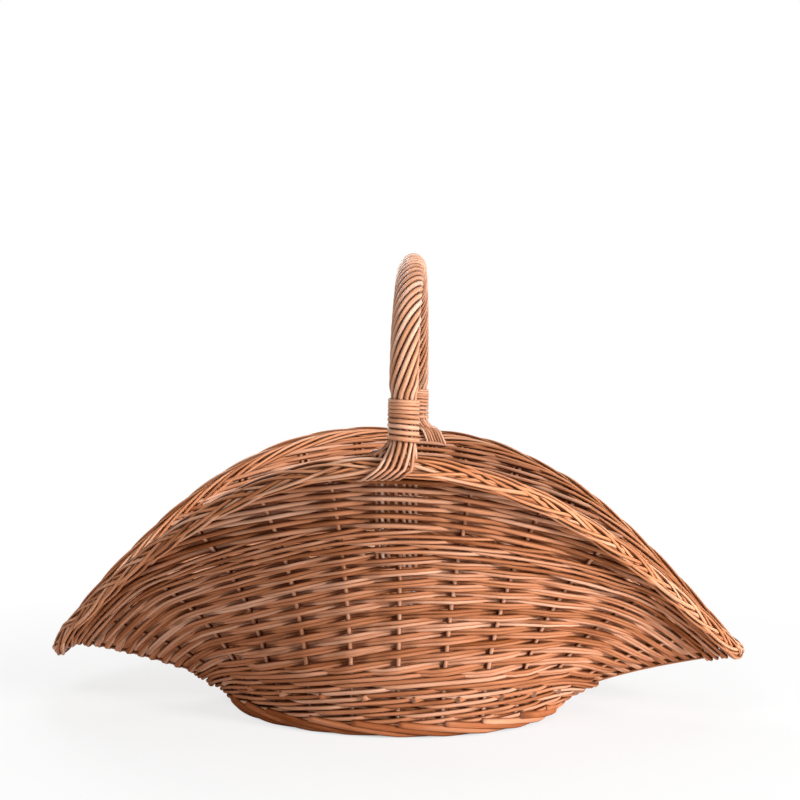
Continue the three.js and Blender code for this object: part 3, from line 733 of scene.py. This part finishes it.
def wale(low, rod, rounds, period, rng):
    """Waling: each of the rods passes in front of all stakes but one in its period, climbing one rod's width
    per stake, and drops back behind that one.
    """
    w = weave()
    behind, before, shift = 0.3, 0.85, 0.5
    uneven, squeezed = 0.05, 0.7
    place = np.arange(w.stakes * STEPS)[None] / STEPS
    turn = np.repeat(np.arange(rounds), period)[:, None]
    q = place - np.tile(np.arange(period), rounds)[:, None] - turn * shift
    climb = ripple(q, period, [0, 0.5, period - 0.5, period], [0, 0.5 - period / 2, period / 2 - 0.5, 0])
    knots = [0, behind, before, period - before, period - behind, period]
    swing = ripple(q, period, knots, [-1, -0.8, 1, 1, -0.8, -1], 0.2)
    row = low + (period - 1) * rod * (turn + 0.5) + rod * climb + wander(rng, q.shape, 0, 0.0002)
    angle = stake_angle(place) + np.zeros_like(q)
    points, outs = on_wall(angle, row_length(angle, row), (w.stake + rod) / 2 * swing)
    size = rod / 2 * rng.normal(1, uneven, (len(q), 1)) * squeeze(angle) ** squeezed
    return tubes(round_keel(points, angle), outs, size, SIDES, rng, closed=True)


def butts(rng):
    """Butt ends of the upsett rods: one at each stake stands out of the wall and goes into it rightwards."""
    w = weave()
    radius, stands_out, goes_in, climb, height = 0.0032, 0.0062, 0.0056, 0.001, 0.62
    place_after, length = 0.3, 0.22
    t = np.linspace(0, 1, 4)[None]
    start = np.arange(w.stakes)[:, None] + place_after + rng.uniform(-0.05, 0.05, (w.stakes, 1))
    angle = stake_angle(start + length * t)
    row = front_row(height * w.upsett_share) + rng.uniform(-0.0015, 0.0015, (w.stakes, 1)) + climb * t
    points, outs = on_wall(angle, row_length(angle, row), stands_out - goes_in * t)
    return tubes(points, outs, radius, SIDES, rng)


def upsett_wales():
    """Four rounds of three-rod waling, and one round of a four-rod wale above them."""
    rng = seeded("upsett")
    rounds, lap = 4, 0.002
    low, high = form().foot_height - lap, front_row(weave().upsett_share)
    rod = (high - low) / (2 * rounds + 3)
    parts = [wale(low, rod, rounds, 3, rng), wale(low + 2 * rounds * rod, rod, 1, 4, rng), butts(rng)]
    build("upsett_rods", parts, ["upsett_wale"], "wall")


def mid_wales():
    """Three rounds of three-rod waling between the lower and the upper weave."""
    w = weave()
    rounds = 3
    low, high = front_row(w.lower_share), front_row(w.mid_share)
    part = wale(low, (high - low) / (2 * rounds), rounds, 3, seeded("mid"))
    build("mid_wale_rods", [part], ["mid_wale"], "wall")


def upper_panel(side, middle, spacing, fullness):
    """Packing above the mid wale: rows in front of one stake and behind the next, lifted where they lean out,
    so that they look level, and ended where the border cuts them off.
    """
    w = weave()
    rng = seeded(side)
    bundle, past_last, press, uneven = 0.34, 0.6, 0.0005, 0.05
    lifted, fade, into_border, thinner = 0.55, 0.004, 0.003, 0.5
    pitch = w.packer * spacing
    rows = int(float(wall_top(middle) - mid_top(middle)) / pitch) + 1
    index = np.arange(rows)[:, None]
    end = w.panel_reach + past_last
    place = np.arange(-end, end + 0.01, 1 / STEPS)[None] + w.stakes * middle / TURN
    angle = stake_angle(place) + 0 * index
    top = wall_top(angle)
    length = mid_top(angle) + pitch * (index + 0.5) + wander(rng, angle.shape, 5, 0.0003)
    hidden = ramp(length, top, top + fade)
    reach = (w.stake + w.packer) / 2 - press
    out = reach * bulge(bundle_warp(place, bundle) + index) * (1 - hidden)
    out = out + wander(rng, length.shape, 8, 0.0002)
    points, outs = on_wall(angle, np.minimum(length + lifted * out, top + into_border), out)
    size = w.packer / 2 * rng.normal(1, uneven, (rows, 1)) * (1 - thinner * hidden) * fullness
    part = tubes(points, outs, size, SIDES, rng)
    build(f"{side}_packing", [part], [f"{side}_weave"], "wall")


def rim_turns(steps):
    """Angles round the rim at equal steps of length, to which each turn of the wall adds, so that the tips
    get enough points.
    """
    fine, turn_weight = 2881, 0.03
    angle = np.linspace(0, TURN, fine)
    point, outward, _ = wall_frame(angle, np.ones_like(angle))
    runs = running(spans(point) + turn_weight * spans(outward))
    return np.interp(np.arange(steps) / steps * runs[-1], runs, angle)


def border_line(steps):
    """Closed middle line of the border with its outward and upward directions. A Gaussian, as a product with
    its own transform, rounds the turn at the tips. The left tip droops, and the back rises and dips a little.
    """
    rounding, left_droop, droop_width = 0.006, 0.0115, 0.012
    angle = rim_turns(steps)
    keep = np.exp(-2 * (math.pi * rounding * steps * np.fft.rfftfreq(steps)) ** 2)[:, None]
    sharp = wall_frame(angle, np.ones(steps))
    middle, outward, upward = (np.fft.irfft(np.fft.rfft(v, axis=0) * keep, steps, axis=0) for v in sharp)
    uneven = sum(high * bell(middle[:, 0] - at, wide) for at, wide, high in BACK_RISE)
    uneven = uneven * ramp(np.sin(angle), 0, 0.5) - left_droop * bell(np.cos(angle) + 1, droop_width)
    return angle, moved(middle, (uneven, UP)), unit(outward), unit(upward)


def plaited_rim():
    """Plait of seven strands, each of two rods side by side, rolled over the border: a strand's angle round
    the border swings by a sine, which a third harmonic flattens at the edges. It goes over the others towards
    the middle and under them towards the edges, by a sine of twice the angle. The plait gets closer towards
    the tips.
    """
    w, f = weave(), form()
    rng = seeded("plait")
    steps, strands, lanes = 780, 7, 2
    wide, tall, tip_narrow = 0.0078, 0.0048, 0.4
    faster, flatten, peak = 0.25, 0.12, 0.89
    middle_roll, sway_roll, lane_room, height_over = math.radians(47), math.radians(62), 1.05, 0.0022
    lift, tip_lift, lift_width, uneven = 0.0010, 0.0022, 0.3, 0.07
    turns, middle, outward, upward = border_line(steps)
    strand = np.repeat(np.arange(strands), lanes)[:, None]
    lane = np.tile(np.arange(lanes) - (lanes - 1) / 2, strands)[:, None]
    speed = 1 + faster * smooth(ramp(tipward(turns), 0.45, 0.85))
    phase = np.cumsum(speed) / np.sum(speed)
    theta = TURN * (w.plaits * phase[None] + strand / strands)
    sway = (np.sin(theta) + flatten * np.sin(3 * theta)) / peak
    spread = 2 * w.rim_rod / (wide + tall) * (lane_room + wander(rng, theta.shape, 12, 0.06))
    roll = middle_roll + sway_roll * sway + lane * spread + wander(rng, theta.shape, 16, 0.06)
    over = -height_over * np.sin(2 * theta) + wander(rng, theta.shape, 14, 0.0003)
    near_tip = bell(np.sin(turns), TIP_WIDTH)
    out = f.border_roll * (1 - near_tip) + (wide * (1 - tip_narrow * near_tip) + over) * np.cos(roll)
    up = lift + tip_lift * bell(np.sin(turns), lift_width) + (tall + over) * np.sin(roll)
    points = moved(middle, (out, outward), (up, upward))
    outs = moved(0, (np.cos(roll), outward), (np.sin(roll), upward))
    size = w.rim_rod / 2 * (1 + wander(rng, roll.shape, 12, 0.04)) * rng.normal(1, uneven, (len(roll), 1))
    part = tubes(points, outs, size, SIDES, rng, closed=True)
    build("plaited_rim", [part], ["rim_border"], "rim")


def rope_lay(rods, rounds, steps):
    """Angles of a closed rope's rods round its middle: even along it, and evenly spaced."""
    run = np.linspace(0, TURN, steps, endpoint=False)[None]
    return rounds * run + np.arange(rods)[:, None] * TURN / rods


def border_rods():
    """Rods under the plait: a core laid as a slack rope, another slack rope along the border's inner side,
    and two rods that close the back below it. Each rope's section is an ellipse.
    """
    rng = seeded("border")
    steps, radius, uneven, tip_narrow = 480, 0.0020, 0.06, 0.3
    core_wide, core_tall, core_high = 0.0040, 0.0014, 0.0004
    edge_wide, edge_tall, edge_in, edge_low = 0.0030, 0.0054, 0.0058, 0.0034
    core_lay, edge_lay = rope_lay(4, 5, steps), rope_lay(6, 9, steps)
    turns, middle, outward, upward = border_line(steps)
    edge_lay = edge_lay + wander(rng, edge_lay.shape, 16, 0.12)
    near_tip = bell(np.sin(turns), TIP_WIDTH)
    at_back = ramp(np.sin(turns), 0, 1 / 3)
    edge_out = (edge_wide * np.cos(edge_lay) - edge_in) * (1 - tip_narrow * near_tip)
    back_out = np.array([0.0050, 0.0040])[:, None] * at_back
    back_up = np.array([-0.0056, -0.0094])[:, None] * at_back
    core_up, edge_up = core_high + core_tall * np.sin(core_lay), edge_tall * np.sin(edge_lay) - edge_low
    out = np.concatenate([core_wide * np.cos(core_lay), edge_out, back_out])
    up = np.concatenate([core_up, edge_up, back_up])
    points = moved(middle, (out + form().border_roll * (1 - near_tip), outward), (up, upward))
    size = radius * rng.normal(1, uneven, (len(points), 1))
    part = tubes(points, outward + np.zeros_like(points), size, 6, rng, closed=True)
    build("border_rods", [part], [], "rim")


def foot_frame(angle):
    """Point under the wall on the floor, and the level outward direction there."""
    return base_point(angle), unit(wall_frame(angle, np.zeros_like(angle))[1] * LEVEL)


def foot_roll():
    """Foot border: from each stake a thick rod with a blunt start falls to the right over the outside, in a
    straight slope, and then goes under the base. Three rods run round inside it.
    """
    w, f = weave(), form()
    rng = seeded("foot")
    reach, above, uneven, floor_gap, core_radius = 0.82, 0.0008, 0.05, 0.0001, 0.0026
    t = np.linspace(0, 1, 26)[None]
    start = np.arange(w.stakes)[:, None] + rng.uniform(-0.12, 0.12, (w.stakes, 1))
    points, outward = foot_frame(stake_angle(start) + reach * t)
    out = np.interp(t, [0, 0.25, 0.55, 0.8, 1], [0.0080, 0.0075, 0.0058, 0.0005, -0.0045])
    high = np.interp(t, [0, 0.66, 1], [f.foot_height + above, w.foot_rod / 2, w.foot_rod / 2])
    points = moved(points, (out, outward), (high, UP))
    size = w.foot_rod / 2 * rng.normal(1, uneven, (w.stakes, 1))
    rolled = tubes(points, outward, np.minimum(size, high - floor_gap), 10, rng)
    core_out, core_up = np.array([[-0.001, 0.0005, 0.002], [0.0045, 0.0090, 0.0132]])[:, :, None]
    points, outward = foot_frame(np.linspace(0, TURN, 144, endpoint=False)[None] + 0 * core_out)
    points = moved(points, (core_out, outward), (core_up, UP))
    core = tubes(points, outward, core_radius, SIDES, rng, closed=True)
    build("foot_roll", [rolled, core], ["foot_border"], "foot")


def base_weave():
    """Base: rods along X that go over and under the seven short sticks, each as long as the oval is there,
    and straight sticks both ways in the same oval.
    """
    w, f = weave(), form()
    rng = seeded("base")
    raised, lap, end_room, packed, fullness, uneven = 0.0071, 0.0010, 0.002, 0.80, 1.12, 0.04
    short_count, short_pitch, short_stick = 7, 0.038, 0.0072
    long_count, long_pitch, long_stick = 3, 0.034, 0.005
    middle = f.foot_height + raised
    long_half, wide_half = (side / 2 - f.foot_inset + lap for side in (f.foot_length, f.foot_width))
    pitch = packed * w.base_rod
    rows = int(2 * wide_half / pitch)
    row = np.arange(rows)[:, None]
    y = (row - (rows - 1) / 2) * pitch
    x = np.linspace(-1, 1, 97)[None] * (long_half * np.sqrt(1 - (y / wide_half) ** 2) - end_room)
    z = middle + (short_stick + w.base_rod) / 2 * bulge(x / short_pitch + row)
    points = xyz(x, y, z)
    size = w.base_rod / 2 * rng.normal(fullness, uneven, (rows, 1))
    part = tubes(points, UP + 0 * points, size, SIDES, rng)
    build("base_mat", [part], ["base_weave"], "wall")

    def sticks(number, spacing, stick, run_half, side_half, sides, order):
        place = (np.arange(number) - (number - 1) / 2)[:, None] * spacing
        half = run_half * np.sqrt(1 - ((np.abs(place) + stick / 2) / side_half) ** 2) - end_room
        run = half * np.linspace(-1, 1, 9)[None]
        points = xyz(run, place, middle)[..., order]
        return tubes(points, UP + 0 * points, stick / 2, sides, rng)

    short = sticks(short_count, short_pitch, short_stick, wide_half, long_half, 10, [1, 0, 2])
    long = sticks(long_count, long_pitch, long_stick, long_half, wide_half, SIDES, [0, 1, 2])
    names = [f"base_long_stick_{i + 1}" for i in range(long_count)]
    names += [f"base_short_stick_{i + 1}" for i in range(short_count)]
    build("base_sticks", [short, long], names, "wall")


def handle_sizes():
    """Heights of the neck and the spring, the arch's half width and its rise."""
    f, g = form(), grip()
    neck = f.rim_height + g.neck_height
    spring = neck + (g.binding_turns + 1) * g.binding_pitch
    rise = g.height - g.rope_rod / 2 - g.rope_ring - spring
    return neck, spring, f.rim_width / 2 + g.leg_out, rise


def arch_point(turn):
    """Half ellipse of the handle from front to back, and its outward direction."""
    _, spring, half, rise = handle_sizes()
    point = xyz(0, -half * np.cos(turn), spring + rise * np.sin(turn))
    return point, unit(xyz(0, -rise * np.cos(turn), half * np.sin(turn)))


def arch_turns(steps):
    """Turns over the arch at equal lengths, without the two ends, and their shares of its length."""
    turn = np.linspace(0, math.pi, 721)
    runs = running(spans(arch_point(turn)[0]))
    part = np.arange(1, steps) / steps
    return np.interp(part * runs[-1], runs, turn), part


def leg_line(low, steps):
    """Line of the bow in the front wall, from a row through the border, and its outward directions."""
    f = form()
    points, outs = on_wall(np.full(steps, FRONT), np.linspace(low, front_row(1.0), steps))
    top, out = border_point(np.array([FRONT]), np.array([-f.border_roll]), np.array([f.border_depth / 2]))
    return join(points, top), join(outs, out)


def spline(points, steps):
    """Smooth curve through points: between two of them a cubic with half the neighbours' chords as slopes."""
    before = 2 * points[:, :1] - points[:, 1:2]
    after = 2 * points[:, -1:] - points[:, -2:-1]
    p = join(before, points, after)[:, :, None]
    t = (np.arange(steps) / steps)[None, None, :, None]
    a, b, c, d = p[:, :-3], p[:, 1:-2], p[:, 2:-1], p[:, 3:]
    curve = 0.5 * (2 * b + (c - a) * t + (2 * a - 5 * b + 4 * c - d) * t**2 + (3 * b - a - 3 * c + d) * t**3)
    return join(curve.reshape(len(points), -1, points.shape[-1]), points[:, -1:])


def half_turned(points):
    """Points turned half round the upright axis."""
    return points * np.array([-1, -1, 1])


def rope_legs(turn, heights):
    """Rope rods along the front leg: points on a ring at each height, and their outward directions."""
    half = handle_sizes()[2]
    turn = turn[:, None] + 0 * heights
    out = xyz(np.sin(turn), -np.cos(turn), 0)
    return xyz(0, -half, heights) + grip().bound_ring * out, out


def outer_fans(lane):
    """Fans of the rope rods' ends in front and behind: they slant sideways over the border's outer face."""
    f, g = form(), grip()
    slant = np.array([0.26, 0.42, 0.58, 0.72, 0.86, 1.0])
    spread = np.array([0.82, 0.85, 0.89, 0.92, 0.95, 1.0])
    out = np.array([-0.004, -0.0008, 0.0003, 0.0, -0.0015, -0.0055])
    up = np.array([0.0084, 0.0054, 0.0022, -0.0012, -0.0046, -0.0080])
    clear = g.rope_tip / 2 + 0.0005
    x = -g.fan_shift * slant + lane[:, None] * g.fan_pitch * spread
    out = out + FAN_WIDE * f.border_width / 2 + clear
    return [border_point(rim_angle(g.shift + side * x, side > 0), out, up) for side in (1, -1)]


def handle_ropes():
    """Rope rods: up the wall, round the leg, in 3.5 even turns over the arch, down the other leg and out in a
    fan over the border. Half of them start at the back.
    """
    g = grip()
    rng = seeded("ropes")
    root_lap, bound, loose, fan_end, uneven, steps = 0.016, 0.97, 0.95, 0.8, 0.035, 3
    neck, spring, _, _ = handle_sizes()
    number = g.rope_rods // 2
    index = np.arange(number)
    lane = (number - 1) / 2 - index
    start = math.pi / 2 + TURN / g.rope_rods * (index + 0.5)
    end = start + g.rope_turns * TURN
    root_x = (g.root_first + g.root_pitch * (np.abs(lane) - 0.5)) * np.sign(lane) - g.root_shift
    line, line_out = leg_line(front_row(weave().lower_share) - root_lap, 9)
    root = line[None] + root_x[:, None, None] * ALONG
    heights = np.array([neck, (neck + spring) / 2, spring])
    front_leg, front_out = rope_legs(start, heights)
    back_leg, back_out = (half_turned(values) for values in rope_legs(-end, heights[::-1]))
    turns, part = arch_turns(64)
    wind = start[:, None] + (end - start)[:, None] * part
    centre, outward = arch_point(turns)
    arch_out = moved(0, (np.cos(wind), outward), (np.sin(wind), ALONG))
    arch = centre + g.rope_ring * arch_out
    wound = join(root, front_leg, arch, back_leg)
    wound_out = join(line_out[None] + 0 * root, front_out, arch_out, back_out)
    (front_fan, front_fan_out), (back_fan, back_fan_out) = outer_fans(lane)
    slide = g.shift * ALONG
    paths = np.concatenate([join(wound + slide, back_fan), join(half_turned(wound) + slide, front_fan)])
    outs = np.concatenate([join(wound_out, back_fan_out), join(half_turned(wound_out), front_fan_out)])
    size = np.concatenate([
        np.full(len(line), g.rope_root), np.full(3, g.rope_rod * bound), np.full(len(turns), g.rope_rod),
        [g.rope_rod, g.rope_rod * loose, (g.rope_rod + g.rope_tip) / 2],
        np.linspace(1, fan_end, back_fan.shape[1]) * g.rope_tip,
    ]) / 2
    size = spline(size[None, :, None], steps)[..., 0] * rng.normal(1, uneven, (len(paths), 1))
    ropes = tubes(spline(paths, steps), spline(outs, steps), size, 10, rng)
    names = [f"rope_rod_{i + 1:02d}" for i in range(g.rope_rods)]
    build("handle_ropes", [ropes, *inner_fans(rng)], names, "handle")


def inner_fans(rng):
    """Fans on the inner sides: from each binding seven rods slant sideways over the border's inner face and
    under its lower edge. The front fan slants to the left and the back fan to the right.
    """
    f, g = form(), grip()
    neck, _, half, _ = handle_sizes()
    rods, steps, fullness = 7, 5, 1.05
    ring, pitch, spread, slant, clear = 0.0108, 0.0030, 0.0005, 0.0225, 0.0003
    first_x, leg_x, leg_slant, leg_top, leg_low = 0.003, 0.001, 0.0015, 0.012, 0.002
    lane = (np.arange(rods) - (rods - 1) / 2)[:, None]
    wide, deep = FAN_WIDE * f.border_width / 2, FAN_DEEP * f.border_depth / 2
    part = np.array([0.3, 0.52, 0.72, 0.88, 1.0])
    x = first_x + slant * part + lane * (pitch + spread * part)
    out = np.array([0.004, -0.0005, -0.001, 0.001, 0.006]) - wide - g.rope_tip / 2 - clear
    up = np.array([deep, deep - 0.0045, 0.0, -deep + 0.002, -deep - 0.003])
    leg_y = half - np.sqrt(ring**2 - (lane * pitch) ** 2)
    fans = []
    for side in (-1, 1):
        over, outward = border_point(rim_angle(g.shift + side * x, side < 0), out, up)
        top_x = g.shift + side * (leg_x + lane * pitch)
        top = xyz(top_x, side * leg_y, neck + leg_top)
        low = xyz(top_x + side * leg_slant, side * leg_y, neck + leg_low)
        path = join(top, low, over)
        outs = -join(outward[:, :1], outward[:, :1], outward)
        fans.append(tubes(spline(path, steps), spline(outs, steps), g.rope_tip / 2 * fullness, SIDES, rng))
    return fans


def handle_core():
    """Bow: up the front wall, over the arch and down the back wall, thinner in the walls and the bindings."""
    g = grip()
    root_lap, neck_size, spring_size, steps = 0.004, 0.64, 0.84, 3
    neck, spring, half, _ = handle_sizes()
    line, line_out = leg_line(front_row(weave().mid_share) + root_lap, 5)
    turns, _ = arch_turns(40)
    centre, outward = arch_point(turns)
    front = join(line - g.root_shift * ALONG, xyz(0, -half, [neck, spring]))
    front_out = join(line_out, xyz(0, [-1.0, -1.0], 0))
    path = join(front, centre, half_turned(front)[::-1]) + g.shift * ALONG
    outs = join(front_out, outward, half_turned(front_out)[::-1])
    foot = np.concatenate([np.full(len(line), g.bow_foot), [g.bow * neck_size, g.bow * spring_size]])
    size = np.concatenate([foot, np.full(len(turns), g.bow), foot[::-1]]) / 2
    size = spline(size[None, :, None], steps)[..., 0]
    part = tubes(spline(path[None], steps), spline(outs[None], steps), size, 14, seeded("bow"))
    build("handle_core", [part], ["handle_bow"], "wall")


def handle_bindings():
    """Bindings: one flat split rod wound as a helix round each bound leg, broader towards its lower end,
    where a sine of the height spaces its turns wider.
    """
    g = grip()
    rng = seeded("bindings")
    flat, gap, wider, broad, narrower, tone = 0.52, 0.0002, 0.11, 1.13, 0.42, 0.45
    neck, _, half, _ = handle_sizes()
    ring = g.bound_ring + g.rope_rod / 2 + gap + flat * g.binding_rod / 2
    turn = np.linspace(0, g.binding_turns, g.binding_turns * 24 + 1)
    lay = TURN * turn
    climb = turn + wider * g.binding_turns * np.sin(math.pi * turn / g.binding_turns)
    height = neck + g.binding_pitch * (0.5 + climb) + wander(rng, (1, turn.size), 30, 0.0002)[0]
    out = xyz(np.sin(lay), np.cos(lay), 0)
    path = ring * out + xyz(0, -half, height)
    size = g.binding_rod / 2 * (broad - narrower * turn / g.binding_turns)[None]
    for side, points, outs in (("front", path, out), ("back", half_turned(path), half_turned(out))):
        part = tubes((points + g.shift * ALONG)[None], outs[None], size, 10, rng, flat=flat)
        part["tone"][:] = tone
        build(f"{side}_winding", [part], [f"{side}_binding"], "handle")


def seen_ray(tree):
    """1 for a ray from the camera, by a reflection or through glass, and 0 for light that falls on things."""
    path = node(tree, "ShaderNodeLightPath").outputs
    seen = maths(tree, "MAXIMUM", path["Is Camera Ray"], path["Is Glossy Ray"])
    return maths(tree, "MAXIMUM", seen, path["Is Transmission Ray"])


def studio_floor():
    """Pale round floor that turns white away from the basket, but not under its foot's oval."""
    f = form()
    reach, sides, drop, roughness = 30, 64, 0.0004, 0.9
    ring = np.linspace(0, TURN, sides, endpoint=False)
    edge = xyz(reach * np.cos(ring), reach * np.sin(ring), -drop)
    mesh = bpy.data.meshes.new("studio_floor")
    mesh.from_pydata(edge.tolist(), [], [list(range(sides))])
    floor = bpy.data.objects.new("studio_floor", mesh)
    bpy.context.scene.collection.objects.link(floor)
    material, tree, shader = new_material("studio_floor")
    shader.inputs["Base Color"].default_value = shaded(finish().floor)
    shader.inputs["Roughness"].default_value = roughness
    place = node(tree, "ShaderNodeTexCoord").outputs["Object"]

    def times(a, b):
        return maths(tree, "MULTIPLY", a, b)

    def length(vector):
        return node(tree, "ShaderNodeVectorMath", (0, vector), operation="LENGTH").outputs["Value"]

    foot = (2 / f.foot_length, 2 / f.foot_width, 0)
    oval = node(tree, "ShaderNodeVectorMath", (0, place), (1, foot), operation="MULTIPLY").outputs["Vector"]
    white = map_range(tree, length(place), 0.30, 0.80, 0.75, 1.0)
    white = times(times(white, map_range(tree, length(oval), 0.88, 0.98)), seen_ray(tree))
    glow = node(tree, "ShaderNodeEmission", (0, (1, 1, 1, 1)), (1, 1.0))
    mixed = node(tree, "ShaderNodeMixShader", (0, white), (1, shader.outputs[0]), (2, glow.outputs[0]))
    tree.links.new(mixed.outputs[0], tree.nodes["Material Output"].inputs[0])
    mesh.materials.append(material)


def studio():
    """Floor, white room, four soft lamps that aim at the basket's middle, and the camera."""
    scene = bpy.context.scene
    s = scene.basket_stage
    scene.view_settings.view_transform = "Standard"
    studio_floor()
    scene.world = bpy.data.worlds.new("studio_room")
    scene.world.use_nodes = True
    tree = scene.world.node_tree
    room = tree.nodes["Background"].inputs
    tree.links.new(map_range(tree, seen_ray(tree), 0.0, 1.0, s.ambient), room["Strength"])
    room["Color"].default_value = (1, 1, 1, 1)

    target = Vector((0, 0, 0.15))
    for name, watts, place, size in (
        ("key", s.key, (1.85, -1.15, 0.75), 0.6),
        ("fill", s.fill, (-0.7, -1.4, 1.5), 0.6),
        ("top", s.top, (0.1, 0.2, 2.0), 1.2),
        ("back", s.back, (-0.5, 1.6, 1.2), 0.8),
    ):
        data = bpy.data.lights.new(f"{name}_lamp", "AREA")
        data.energy, data.size = watts, size
        lamp = bpy.data.objects.new(f"{name}_lamp", data)
        lamp.location = place
        lamp.rotation_euler = (Vector(place) - target).to_track_quat("Z", "Y").to_euler()
        scene.collection.objects.link(lamp)

    data = bpy.data.cameras.new("photo_camera")
    data.lens, data.sensor_width = s.lens, 36.0
    camera = bpy.data.objects.new("photo_camera", data)
    place = Matrix.Translation((s.away * math.sin(s.aside), -s.away * math.cos(s.aside), s.camera_height))
    turn = Matrix.Rotation(s.aside, 4, "Z") @ Matrix.Rotation(math.pi / 2 - s.down, 4, "X")
    camera.matrix_world = place @ turn @ Matrix.Rotation(s.roll, 4, "Z")
    scene.collection.objects.link(camera)
    scene.camera = camera


class BASKET_OT_studio(bpy.types.Operator):
    """Set up the floor, lamps and camera"""

    bl_idname = "basket.studio"
    bl_label = "Studio"

    def execute(self, context):
        studio()
        return {"FINISHED"}


class BASKET_OT_base(bpy.types.Operator):
    """Weave the base and lay the foot border"""

    bl_idname = "basket.base"
    bl_label = "Base and Foot"

    def execute(self, context):
        base_weave()
        foot_roll()
        return {"FINISHED"}


class BASKET_OT_stakes(bpy.types.Operator):
    """Set the stakes"""

    bl_idname = "basket.stakes"
    bl_label = "Stakes"

    def execute(self, context):
        stake_rods()
        return {"FINISHED"}


class BASKET_OT_wales(bpy.types.Operator):
    """Weave the upsett and the mid wale"""

    bl_idname = "basket.wales"
    bl_label = "Wales"

    def execute(self, context):
        upsett_wales()
        mid_wales()
        return {"FINISHED"}


class BASKET_OT_wall(bpy.types.Operator):
    """Weave the lower wall and the two upper panels"""

    bl_idname = "basket.wall"
    bl_label = "Wall"

    def execute(self, context):
        lower_weave()
        upper_panel("front", FRONT, spacing=1.1, fullness=1.15)
        upper_panel("back", BACK, spacing=0.88, fullness=1.14)
        return {"FINISHED"}


class BASKET_OT_rim(bpy.types.Operator):
    """Plait the rim border"""

    bl_idname = "basket.rim"
    bl_label = "Rim"

    def execute(self, context):
        plaited_rim()
        border_rods()
        return {"FINISHED"}


class BASKET_OT_handle(bpy.types.Operator):
    """Bend, rope and bind the handle"""

    bl_idname = "basket.handle"
    bl_label = "Handle"

    def execute(self, context):
        handle_core()
        handle_ropes()
        handle_bindings()
        return {"FINISHED"}


OPERATORS = (
    BASKET_OT_studio, BASKET_OT_base, BASKET_OT_stakes, BASKET_OT_wales, BASKET_OT_wall, BASKET_OT_rim,
    BASKET_OT_handle,
)
GROUPS = {
    "basket_form": BASKET_PG_form,
    "basket_weave": BASKET_PG_weave,
    "basket_handle": BASKET_PG_handle,
    "basket_finish": BASKET_PG_finish,
    "basket_stage": BASKET_PG_stage,
}


class BASKET_PT_pieces(bpy.types.Panel):
    """Buttons for the basket's pieces"""

    bl_idname = "BASKET_PT_pieces"
    bl_label = "Firewood Basket"
    bl_space_type = "VIEW_3D"
    bl_region_type = "UI"
    bl_category = "Basket"

    def draw(self, context):
        for operator in OPERATORS:
            self.layout.operator(operator.bl_idname)


def register():
    """Adds the groups, the operators and the panel."""
    for name, group in GROUPS.items():
        bpy.utils.register_class(group)
        setattr(bpy.types.Scene, name, PointerProperty(type=group))
    for cls in (*OPERATORS, BASKET_PT_pieces):
        bpy.utils.register_class(cls)


def unregister():
    """Removes them again."""
    for cls in reversed((*OPERATORS, BASKET_PT_pieces)):
        bpy.utils.unregister_class(cls)
    for name, group in GROUPS.items():
        delattr(bpy.types.Scene, name)
        bpy.utils.unregister_class(group)


def main():
    """Makes every piece in order."""
    register()
    bpy.ops.basket.studio()
    bpy.ops.basket.base()
    bpy.ops.basket.stakes()
    bpy.ops.basket.wales()
    bpy.ops.basket.wall()
    bpy.ops.basket.rim()
    bpy.ops.basket.handle()


if __name__ == "__main__":
    main()
